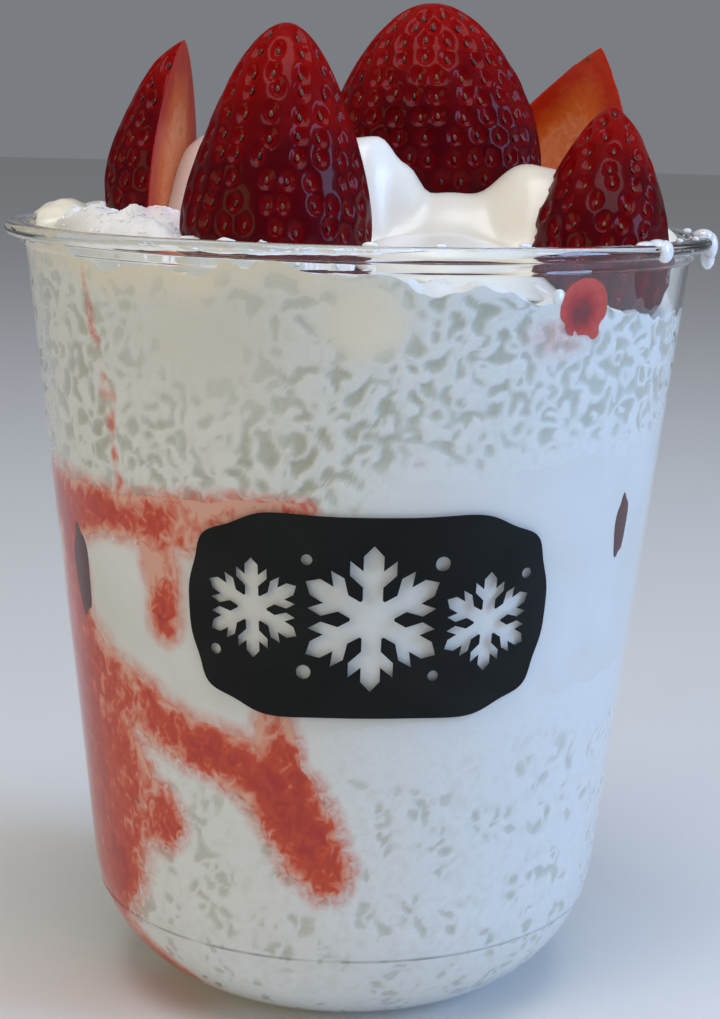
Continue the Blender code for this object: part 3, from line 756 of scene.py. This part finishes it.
def seam_fade(level, below, above):
    """0 where a layer meets the next one, so that relief and gaps end before the seam."""
    return smooth_step(0.0, below, level) * smooth_step(0.0, above, 1.0 - level)


def make_cup():
    """The clear cup: thin wall, beaded rim with a step below it, and the mould's line round the heel."""
    bead = CUP_HEIGHT - RIM_BEAD_HEIGHT
    line = [
        (wall_radius(MOULD_LINE_HEIGHT + above, -rise).item(), MOULD_LINE_HEIGHT + above)
        for above, rise in ((-0.3, 0.0), (-0.1, 0.14), (0.1, 0.14), (0.3, 0.0))
    ]
    heel = heel_points(0.0, 30)
    outside = [(0.0, 0.0)] + [p for p in heel if p[1] < MOULD_LINE_HEIGHT - 0.3] + line
    outside += [p for p in heel if p[1] > MOULD_LINE_HEIGHT + 0.3]
    step_up = ((-0.05, -0.4), (0.02, -0.12), (0.3, 0.1))
    outside += [(WALL_TOP_RADIUS + aside, WALL_TOP_HEIGHT + above) for aside, above in step_up]
    collar = ((0.02, -0.35), (0.15, -0.1), (0.5, 0.0))
    outside += [(COLLAR_RADIUS, WALL_TOP_HEIGHT + 0.35)]
    outside += [(COLLAR_RADIUS + aside, bead + above) for aside, above in collar]
    outside += [(RIM_RADIUS - 1.1, bead)]
    middle = (RIM_RADIUS - 1.0, CUP_HEIGHT - 0.95)
    for i in range(1, 12):
        turn = math.radians(-90 + 180 * i / 12)
        outside.append((middle[0] + math.cos(turn), middle[1] + 0.95 * math.sin(turn)))
    lip = wall_radius(CUP_HEIGHT - 0.8, WALL_THICKNESS).item()
    inside = [(RIM_RADIUS - 1.6, CUP_HEIGHT), (lip + 0.85, CUP_HEIGHT), (lip + 0.45, CUP_HEIGHT - 0.1)]
    inside += [(lip + 0.15, CUP_HEIGHT - 0.35), (lip, CUP_HEIGHT - 0.8)]
    inside += list(reversed(heel_points(WALL_THICKNESS, 24))) + [(0.0, WALL_THICKNESS)]
    bm = spun(outside + inside, 240)
    face_out(bm)
    x, y, z = places(bm).T
    raised = np.hypot(x, y) > wall_radius(z, 0.0) + 0.07
    # Marks the mould line's ridge, along which the plastic gets a painted shade
    mark(bm, "mould_line", np.where(raised & (np.abs(z - MOULD_LINE_HEIGHT) < 0.2), 1.0, 0.0))
    cup = new_mesh("clear_cup", bm, [PLASTIC], 50)
    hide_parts("cup")


def make_upper_ice():
    def bed(x, y):
        return milk_top(x, y) + np.maximum(sauce_band(x, y), 0.0) + SEAM

    bm, out, level = filling(bed, upper_ice_top, ICE_INSET, 560, 84, 64, 3)
    points = places(bm)
    x, y, z = points.T
    wall, top = out > 0.999, level > 0.999
    on_curl = curls(points, ICE_CURL_SIZE, ICE_CURL_SEED)
    front = y < 0
    haze = 0.9 * np.exp(-(((x + 19.0) / 11.0) ** 2) - ((z - 96.5) / 8.5) ** 2) * front
    ivory = 1.1 * np.exp(-((((x - 1.5) / 5.2) ** 2 + ((z - 99.5) / 5.0) ** 2) ** 2)) * front
    rimward = smooth_step(-5.0, -0.5, z - upper_ice_top(x, y)) * smooth_step(6.0, -6.0, x)
    ivory = np.maximum(ivory, 0.75 * rimward)
    smooth = np.clip(np.maximum(haze, ivory), 0.0, 1.0)
    fade = seam_fade(level + 0.1 * grain(points, 4.0, 43.0), 0.3, 0.02)
    gap = (1.0 - on_curl) * (1.0 - smooth) * np.where(top, 1.0, fade)
    side = np.where(wall & ~top, 0.22 * gap, 0.0)
    shrink = 1.0 - side / np.maximum(np.hypot(x, y), 1.0)
    near_wall = smooth_step(0.93, 1.0, out)
    lift = np.where(top, snow_relief(points) * (1.0 - 0.5 * near_wall), 0.0)
    move_to(bm, np.stack([x * shrink, y * shrink, z + lift], 1))
    mark(bm, "gap", np.where(top, 0.12 * gap - 0.15, gap))
    mark(bm, "smooth", smooth * wall)
    mark(bm, "ivory", np.clip(ivory, 0.0, 1.0) * wall)
    pink = 0.55 * np.exp(-((np.hypot(x - PINK_PLACE[0], y - PINK_PLACE[1]) / 4.0) ** 2)) * top
    mark(bm, "stain", stain_at(points) * wall + pink)
    mark(bm, "damp", 0.9 * smooth_step(0.84, 0.97, out) * smooth_step(12.0, -4.0, x) * top)
    for vert, is_top in zip(bm.verts, top):
        vert.tag = bool(is_top)
    for face in bm.faces:
        face.material_index = int(all(vert.tag for vert in face.verts))
    face_out(bm)
    ice = new_mesh("upper_shaved_ice", bm, [ICE, SNOW], 65)
    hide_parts("upper_ice")


def make_milk():
    bm, out, _ = filling(lambda x, y: lower_ice_top(x, y) + SEAM, milk_top, MILK_INSET, 360, 50, 3, 3)
    mark(bm, "stain", stain_at(places(bm)) * (out > 0.999))
    face_out(bm)
    milk = new_mesh("frozen_milk_layer", bm, [MILK], 50)
    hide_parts("milk_layer")


def make_lower_ice():
    bm, out, level = filling(lambda x, y: ICE_INSET + 0 * x, lower_ice_top, ICE_INSET, 500, 112, 3, 12)
    points = places(bm)
    x, y, z = points.T
    wall = out > 0.999
    on_curl = curls(points, 1.5, 23.0)
    open_share = (0.25 + 0.75 * smooth_step(-0.1, 0.3, grain(points, 4.0, 5.0))) * seam_fade(level, 0.05, 0.3)
    gap = (1.0 - on_curl) * open_share
    side = np.where(wall, 0.16 * gap, 0.0)
    shrink = 1.0 - side / np.maximum(np.hypot(x, y), 1.0)
    move_to(bm, np.stack([x * shrink, y * shrink, z], 1))
    mark(bm, "gap", gap)
    mark(bm, "stain", stain_at(points) * wall)
    face_out(bm)
    ice = new_mesh("lower_shaved_ice", bm, [FINE_ICE], 65)
    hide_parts("lower_ice")


def make_sauce():
    """The runs on the wall and the band through the food, joined as one piece."""
    bm = patch(
        sauce_on_wall,
        lambda a, b, t: on_wall(a, b, np.zeros_like(t), SAUCE_INSET),
        lambda a, b, t: on_wall(a, b, 0.3 + t, SAUCE_INSET),
        (-66, 2.5), (3, 80), 0.5,
    )
    band = patch(
        sauce_band,
        lambda x, y, t: (x, y, milk_top(x, y) + t),
        lambda x, y, t: (x, y, milk_top(x, y) + SEAM * 0.5),
        (-47, -47), (14, 47), 2.0,
    )
    join(bm, band)
    points = places(bm)
    along = np.arctan2(points[:, 0], -points[:, 1]) * WRAP_RADIUS
    depth = 0.9 * smooth_step(-0.5, 2.4, sauce_on_wall(along, points[:, 2]))
    for angle, height, radius, change in SAUCE_DEPTHS:
        away = np.hypot(along - math.radians(angle) * WRAP_RADIUS, points[:, 2] - height) / radius
        depth += change * np.exp(-away * away)
    mark(bm, "depth", depth)
    sauce = new_mesh("strawberry_sauce_runs", bm, [SAUCE], 50)
    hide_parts("strawberry_sauce")


def make_wet_patch():
    """Fruit juice pressed on the inside of the wall beside the front right berry: a ring with a dark core."""
    angle, height, radius = WET_PATCH
    middle = math.radians(angle) * WRAP_RADIUS

    def thickness(a, b):
        away = np.hypot(a - middle, (b - height) * 0.97) / radius
        point = 0.5 * np.exp(-(((a - middle - 2.4) / 1.2) ** 2 + ((b - height + 3.9) / 1.4) ** 2))
        eaten = 0.9 * np.clip(ragged(a, b, 1.7, 17.0) + 0.25, 0.0, 1.0) * smooth_step(-0.6, -3.2, b - height)
        return 0.7 * (1.0 + point - eaten - away**2)

    bm = patch(
        thickness,
        lambda a, b, t: on_wall(a, b, np.zeros_like(t), PIECE_INSET),
        lambda a, b, t: on_wall(a, b, 0.35 + 1.4 * t, PIECE_INSET),
        (middle - 6, height - 6), (middle + 6, height + 6), 0.25,
    )
    points = places(bm)
    along = np.arctan2(points[:, 0], -points[:, 1]) * WRAP_RADIUS
    away = np.hypot(along - middle + 0.5, points[:, 2] - height + 0.5) / radius
    mark(bm, "depth", 1.05 - 1.0 * smooth_step(0.12, 1.0, away))
    wet = new_mesh("juice_on_wall", bm, [JUICE], 50)


def make_cream():
    def thickness(x, y):
        ice = ice_bed(x, y)
        reach = 2.2 * (wall_radius(ice - 2.0, ICE_INSET) - np.hypot(x, y))
        return np.minimum(cream_top(x, y) - ice, reach)

    def top(x, y, t):
        folds = 0.35 * waves(x + 0.3 * y, y, 11.0, 9) * smooth_step(0.5, 4.0, t)
        return x, y, ice_bed(x, y) + t + folds

    def base(x, y, t):
        return x, y, ice_bed(x, y) - 0.35 - CREAM_SUNK * np.clip(t / 4.0, 0.0, 1.0)

    bm = patch(thickness, top, base, (-46.5, -46.5), (46.5, 46.5), 0.8)
    cream = new_mesh("whipped_cream_swirl", bm, [CREAM])
    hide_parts("cream")


def make_cream_on_rim():
    """Lumps of ivory cream against the rim. What is above the rim may lean over it."""
    bm = bmesh.new()
    for middle, half_sizes in RIM_LUMPS:
        lump = bmesh.new()
        bmesh.ops.create_uvsphere(lump, u_segments=56, v_segments=36, radius=1.0)
        points = places(lump)
        points = np.sign(points) * np.abs(points) ** 0.8
        lumpy = 1.0 + 0.2 * grain(points, 0.9, 3.0) + 0.06 * grain(points, 0.35, 4.0)
        points = points * lumpy[:, None] * half_sizes + middle
        inside = wall_radius(points[:, 2], WALL_THICKNESS + 0.05)
        lip = np.where(points[:, 2] > CUP_HEIGHT + 0.1, RIM_RADIUS - 0.9, inside)
        squeeze = np.minimum(lip / np.maximum(np.hypot(points[:, 0], points[:, 1]), 1.0), 1.0)
        move_to(lump, points * np.stack([squeeze, squeeze, np.ones_like(squeeze)], 1))
        join(bm, lump)
    face_out(bm)
    lumps = new_mesh("cream_on_rim", bm, [IVORY])


def berry_half_width(s, length, half_width, fullness, sharpness):
    """Half width of the fruit at a distance from its tip: a parabola at sharpness 0.5, a cone at 1."""
    t = np.asarray(s, float) / length
    widest = (1.0 / (1.0 + fullness)) ** (1.0 / fullness)
    most = widest * (1.0 - widest**fullness)
    return half_width * (np.maximum(t * (1.0 - t**fullness), 0.0) / most) ** sharpness


def seed_places(length, *form):
    """Distance from the tip and angle round the axis of each seed: staggered rows, slightly uneven."""
    found = []
    s, row = 1.8, 0
    while s < HULL_CUT * length - 1.0:
        radius = berry_half_width(s, length, *form).item()
        count = max(2, round(math.pi * radius / SEED_SPACING))
        for i in range(count + 1):
            angle = math.pi * (i + (0.5 if row % 2 else 0.0) + CHANCE.normal(0.0, 0.13)) / count
            if 0.05 < angle < math.pi - 0.05:
                found.append((s + CHANCE.normal(0.0, 0.22), angle))
        ahead = berry_half_width(s + 1.0, length, *form).item() - radius
        s += SEED_SPACING * 0.88 / math.hypot(1.0, ahead)
        row += 1
    return np.array(found)


def make_berry(name, shape, seed):
    """Half a strawberry with dimpled skin, a seed in each dimple and a flat cut face."""
    tip, foot, facing, half_width, depth, fullness, sharpness = shape
    form = (half_width, fullness, sharpness)
    tip, foot = Vector(tip), Vector(foot)
    up = (tip - foot).normalized()
    length = (tip - foot).length
    out = Vector((*facing, 0.0))
    out = (out - up * out.dot(up)).normalized()
    turned = np.array([out.cross(up), out, up])
    flatten = depth / half_width
    steps = HULL_CUT * length * (np.arange(BERRY_ROWS + 1) / BERRY_ROWS) ** 1.35
    widths = berry_half_width(steps, length, *form)

    def place(s, angle, radius, sink):
        """Points on the fruit from the distance to its tip, the turn round its axis and the reach from it."""
        local = np.stack([radius * np.cos(angle), radius * np.sin(angle) * flatten, -s], 1)
        normal = np.stack([np.cos(angle) * flatten, np.sin(angle), np.full_like(s, 0.45)], 1)
        normal /= np.linalg.norm(normal, axis=1)[:, None]
        points = np.array(tip) + (local - normal * sink[:, None]) @ turned
        inside = wall_radius(np.minimum(points[:, 2], WALL_TOP_HEIGHT), WALL_THICKNESS - 0.08)
        squeeze = np.minimum(inside / np.maximum(np.hypot(points[:, 0], points[:, 1]), 1.0), 1.0)
        within_cup = points[:, 2] < CUP_HEIGHT + 2.0
        squeeze = np.where(within_cup, squeeze, 1.0)
        return points * np.stack([squeeze, squeeze, np.ones_like(squeeze)], 1)

    skin = bmesh.new()
    verts = [skin.verts.new((width, 0.0, -s)) for s, width in zip(steps, widths)]
    edges = [skin.edges.new(pair) for pair in zip(verts, verts[1:])]
    bmesh.ops.spin(
        skin, geom=verts + edges, cent=(0, 0, 0), axis=(0, 0, 1), angle=math.pi, steps=BERRY_SPOKES
    )
    bmesh.ops.remove_doubles(skin, verts=skin.verts[:], dist=1e-3)
    local = places(skin)
    s, angle = -local[:, 2], np.arctan2(local[:, 1], local[:, 0])
    radius = np.hypot(local[:, 0], local[:, 1])
    angle = np.where(radius < 1e-3, math.pi / 2, angle)
    seeds = seed_places(length, *form)
    nearest = np.full(len(s), 9.0)
    for seed_s, seed_angle in seeds:
        around = (angle - seed_angle) * radius * 0.5 * (1 + flatten)
        away = np.hypot((s - seed_s) / DIMPLE_REACH, around / 0.95)
        nearest = np.minimum(nearest, away)
    dimple = 1.0 - smooth_step(0.4, 1.35, nearest)
    edge = smooth_step(0.0, 0.1, np.minimum(angle, math.pi - angle))
    lumps = 0.45 * grain(local, 9.0, seed) + 0.1 * grain(local, 2.2, seed)
    move_to(skin, place(s, angle, radius, edge * (DIMPLE_DEPTH * dimple - 0.05 + lumps * 0.5)))
    mark(skin, "dimple", dimple)
    mark(skin, "ripe", smooth_step(0.0, 0.55, s / length + 0.12 * grain(local, 7.0, seed + 2)))
    mark(skin, "core", np.zeros(len(s)))

    cut = bmesh.new()
    bmesh.ops.create_grid(cut, x_segments=BERRY_CUT_COLUMNS, y_segments=BERRY_ROWS, size=0.5)
    across, down, _ = places(cut).T
    row = np.rint((0.5 - down) * BERRY_ROWS).astype(int)
    share, s, width = 2 * across, steps[row], widths[row]
    shade = np.stack([share * width, s, np.zeros_like(s)], 1)
    bow = 0.22 * grain(shade, 5.0, seed + 7) * (1.0 - share**2) * smooth_step(0.0, 2.0, s)
    points = place(s, np.where(share < 0, math.pi, 0.0), np.abs(share) * width, np.zeros_like(s))
    move_to(cut, points - np.array(out) * np.abs(bow)[:, None])
    from_edge = np.minimum((1.0 - np.abs(share)) * width, s * 0.6)
    mark(cut, "dimple", np.zeros(len(s)))
    mark(cut, "ripe", np.zeros(len(s)))
    mark(cut, "core", smooth_step(0.1, 0.62 * half_width, from_edge))
    for face in cut.faces:
        face.material_index = 1

    join(skin, cut)
    bmesh.ops.remove_doubles(skin, verts=skin.verts[:], dist=2e-3)
    bmesh.ops.holes_fill(skin, edges=[edge for edge in skin.edges if edge.is_boundary], sides=0)
    face_out(skin)
    spots = place(seeds[:, 0], seeds[:, 1], *seat(seeds, SEED_SUNK, length, *form))
    outward = place(seeds[:, 0], seeds[:, 1], *seat(seeds, -0.5, length, *form)) - spots
    placings = []
    for spot, normal in zip(spots, outward):
        normal = Vector(normal).normalized()
        along = (up - normal * up.dot(normal)).normalized()
        stand = Matrix((along.cross(normal), along, normal)).transposed().to_4x4()
        placings.append(Matrix.Translation(spot) @ stand @ Matrix.Diagonal((*SEED_HALF_SIZES, 1.0)))
    join(skin, copies(SEED_BALL, placings))
    fruit = new_mesh(name.replace("berry", "strawberry"), skin, [SKIN, FLESH, SEED])
    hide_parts(name)


def seat(seeds, sink, length, *form):
    """Reach and sink of the seeds' places."""
    return berry_half_width(seeds[:, 0], length, *form), np.full(len(seeds), sink)


def make_wall_piece(name, node, shape):
    """A lump of fruit that presses on the wall."""
    angle, height, half_width, half_height, depth = shape
    bm = bmesh.new()
    bmesh.ops.create_uvsphere(bm, u_segments=40, v_segments=28, radius=1.0)
    x, y, z = places(bm).T
    lumpy = 1.0 + 0.1 * np.sin(5.0 * x + 3.0 * z) + 0.07 * np.sin(7.0 * y + 4.0 * z)
    inward = np.maximum(-y * lumpy * depth, 0.0)
    along = math.radians(angle) * WRAP_RADIUS + x * lumpy * half_width
    move_to(bm, np.stack(on_wall(along, height + z * lumpy * half_height, inward, PIECE_INSET), 1))
    mark(bm, "dimple", np.clip(0.3 * grain(places(bm), 1.2, 6.0), 0.0, 1.0))
    mark(bm, "ripe", np.full(len(x), 1.6))
    face_out(bm)
    piece = new_mesh(name, bm, [SKIN])
    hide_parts(node)


def make_print():
    """A plain black label with snow crystals left clear, in ink on the outside of the wall."""
    curve = bpy.data.curves.new("label", "CURVE")
    curve.dimensions = "2D"
    curve.fill_mode = "BOTH"

    def outline(points):
        spline = curve.splines.new("POLY")
        spline.points.add(len(points) - 1)
        for point, (x, y) in zip(spline.points, points):
            point.co = (x, y, 0.0, 1.0)
        spline.use_cyclic_u = True

    def rounded(value, power):
        return math.copysign(abs(value) ** power, value)

    def crystal(cx, cy, size):
        """A six-armed snow crystal as one closed outline."""
        arm = list(CRYSTAL_EDGE) + [(-aside, out) for aside, out in reversed(CRYSTAL_EDGE[:-1])]
        points = []
        for i in range(6):
            turn = math.radians(60 * i + 90)
            for aside, out in arm:
                x = out * size * math.cos(turn) + aside * size * math.sin(turn)
                y = out * size * math.sin(turn) - aside * size * math.cos(turn)
                points.append((cx + x, cy + y))
        outline(points)

    turns = [2 * math.pi * i / 160 for i in range(160)]
    border = []
    for a in turns:
        wave = math.cos(10 * a)
        x = LABEL_HALF_WIDTH * rounded(math.cos(a), 0.5) * (1 + 0.012 * wave)
        y = LABEL_HALF_HEIGHT * rounded(math.sin(a), 0.62) * (1 + 0.02 * wave)
        border.append((x, y))
    outline(border)
    for place_and_size in CRYSTALS:
        crystal(*place_and_size)
    for cx, cy, radius in LABEL_DOTS:
        outline([(cx + radius * math.cos(a), cy + radius * math.sin(a)) for a in turns[::8]])
    shape = bpy.data.objects.new("label", curve)
    bpy.context.scene.collection.objects.link(shape)
    flat = bpy.data.meshes.new_from_object(shape.evaluated_get(bpy.context.evaluated_depsgraph_get()))
    bpy.data.objects.remove(shape)
    bm = bmesh.new()
    bm.from_mesh(flat)
    for i in range(-24, 25):
        whole = bm.verts[:] + bm.edges[:] + bm.faces[:]
        bmesh.ops.bisect_plane(bm, geom=whole, plane_co=(i, 0, 0), plane_no=(1, 0, 0))
    bmesh.ops.remove_doubles(bm, verts=bm.verts[:], dist=1e-4)
    bmesh.ops.recalc_face_normals(bm, faces=bm.faces[:])
    bmesh.ops.solidify(bm, geom=bm.faces[:], thickness=INK_THICKNESS)
    x, y, lift = places(bm).T
    lift = lift - lift.min()
    height = LABEL_HEIGHT + y
    angle = math.radians(LABEL_TURN) + x / wall_radius(LABEL_HEIGHT, 0.0)
    reach = wall_radius(height, 0.0) + 0.012 + lift
    move_to(bm, np.stack([reach * np.sin(angle), -reach * np.cos(angle), height], 1))
    face_out(bm)
    label = new_mesh("printed_label", bm, [INK])
    label.data.shade_flat()


def make_drops():
    """Condensed milk on the rim: two drips over the bead and small beads along it."""
    bm = bmesh.new()
    for angle, reach, height, *half_sizes in RIM_DROPS:
        turn = math.radians(angle)
        at = Matrix.Translation((reach * math.sin(turn), -reach * math.cos(turn), height))
        stand = at @ Matrix.Rotation(turn, 4, "Z") @ Matrix.Diagonal((*half_sizes, 1.0))
        bmesh.ops.create_uvsphere(bm, u_segments=24, v_segments=16, radius=1.0, matrix=stand)
    drops = new_mesh("condensed_milk_drops", bm, [DROPS])


def snow_ground(x, y):
    """Points on the top of the upper ice, small lumps and all."""
    points = np.stack([x, y, upper_ice_top(x, y)], 1)
    points[:, 2] += snow_relief(points)
    return points


def make_loose_ice():
    """Loose shavings on the heap: flakes of uneven size, each a squashed ball that lies on the slope."""
    x, y = CHANCE.uniform(-44.0, 44.0, (LOOSE_FLAKES, 2)).T
    ice = upper_ice_top(x, y)
    bare = (np.hypot(x, y) < wall_radius(ice, 2.6)) & (cream_top(x, y) < ice + 0.3)
    x, y = x[bare], y[bare]
    points = snow_ground(x, y)
    reach = 0.35
    across = snow_ground(x + reach, y) - snow_ground(x - reach, y)
    along = snow_ground(x, y + reach) - snow_ground(x, y - reach)
    placings = []
    for point, up in zip(points, np.cross(across, along)):
        size = CHANCE.uniform(0.14, 0.36)
        lean = Vector(up).to_track_quat("Z", "Y").to_matrix().to_4x4()
        turn = lean @ Matrix.Rotation(CHANCE.uniform(0.0, 6.28), 4, "Z")
        form = Matrix.Diagonal((size * CHANCE.uniform(1.1, 2.2), size, size * 0.55, 1.0))
        placings.append(Matrix.Translation(point) @ turn @ form)
    bm = copies(FLAKE_BALL, placings)
    x, y, _ = places(bm).T
    mark(bm, "damp", np.zeros(len(x)))
    mark(bm, "stain", 0.9 * np.exp(-((np.hypot(x - PINK_PLACE[0], y - PINK_PLACE[1]) / 2.2) ** 2)))
    loose = new_mesh("loose_ice_shavings", bm, [LOOSE_SNOW])


def make_stage():
    bm = bmesh.new()
    bmesh.ops.create_circle(bm, cap_ends=True, segments=64, radius=5.0)
    mesh = bpy.data.meshes.new("studio_floor")
    bm.to_mesh(mesh)
    bm.free()
    made, tree, shader, where = surface("pale_studio_floor", Roughness=0.6)
    cloud = add(tree, "TexNoise", {"Vector": where, "Scale": 3.0, "Detail": 2.0})
    share = cloud.outputs["Fac"]
    tone = add(tree, "Mix", {0: share, 6: linear("#E4E3E0"), 7: linear("#E9E8E5")}, data_type="RGBA")
    tree.links.new(tone.outputs[2], shader.inputs["Base Color"])
    mesh.materials.append(made)
    floor = bpy.data.objects.new("studio_floor", mesh)
    bpy.context.scene.collection.objects.link(floor)


def lamp(name, place, target, size, power, colour):
    light = bpy.data.lights.new(name, "AREA")
    light.shape = "RECTANGLE"
    light.size, light.size_y = size
    light.energy = power
    light.color = linear(colour)[:3]
    made = bpy.data.objects.new(name, light)
    made.location = place
    made.rotation_euler = (Vector(target) - Vector(place)).to_track_quat("-Z", "Y").to_euler()
    bpy.context.scene.collection.objects.link(made)


def make_light():
    world = bpy.data.worlds.new("studio")
    world.use_nodes = True
    background = world.node_tree.nodes["Background"]
    background.inputs["Color"].default_value = linear("#DDE2EA")
    background.inputs["Strength"].default_value = 0.27
    bpy.context.scene.world = world
    for settings in LAMPS:
        lamp(*settings)
    bpy.context.scene.view_settings.view_transform = "Standard"


def make_camera():
    """The photograph's view, found from the rim's ellipse, the wall's sides and the foot."""
    data = bpy.data.cameras.new("camera")
    data.sensor_width = 36.0
    data.sensor_fit = "AUTO"
    data.lens = 71.5
    data.clip_start, data.clip_end = 0.01, 50.0
    camera = bpy.data.objects.new("camera", data)
    turn = Matrix.Rotation(math.radians(90 - 10.99), 4, "X") @ Matrix.Rotation(math.radians(1.45), 4, "Z")
    camera.matrix_world = Matrix.Translation((0.00118, -0.286, 0.1234)) @ turn
    bpy.context.scene.collection.objects.link(camera)
    bpy.context.scene.camera = camera


make_camera()
make_stage()
make_light()
make_cup()
make_lower_ice()
make_milk()
make_sauce()
make_upper_ice()
make_cream()
make_cream_on_rim()
for number, (name, shape) in enumerate(BERRIES.items()):
    make_berry(name, shape, 3.0 + number)
make_wet_patch()
make_wall_piece("strawberry_chunk_left", "strawberry_piece_left", PIECE_LEFT)
make_wall_piece("strawberry_chunk_right", "strawberry_piece_right", PIECE_RIGHT)
make_loose_ice()
make_drops()
make_print()
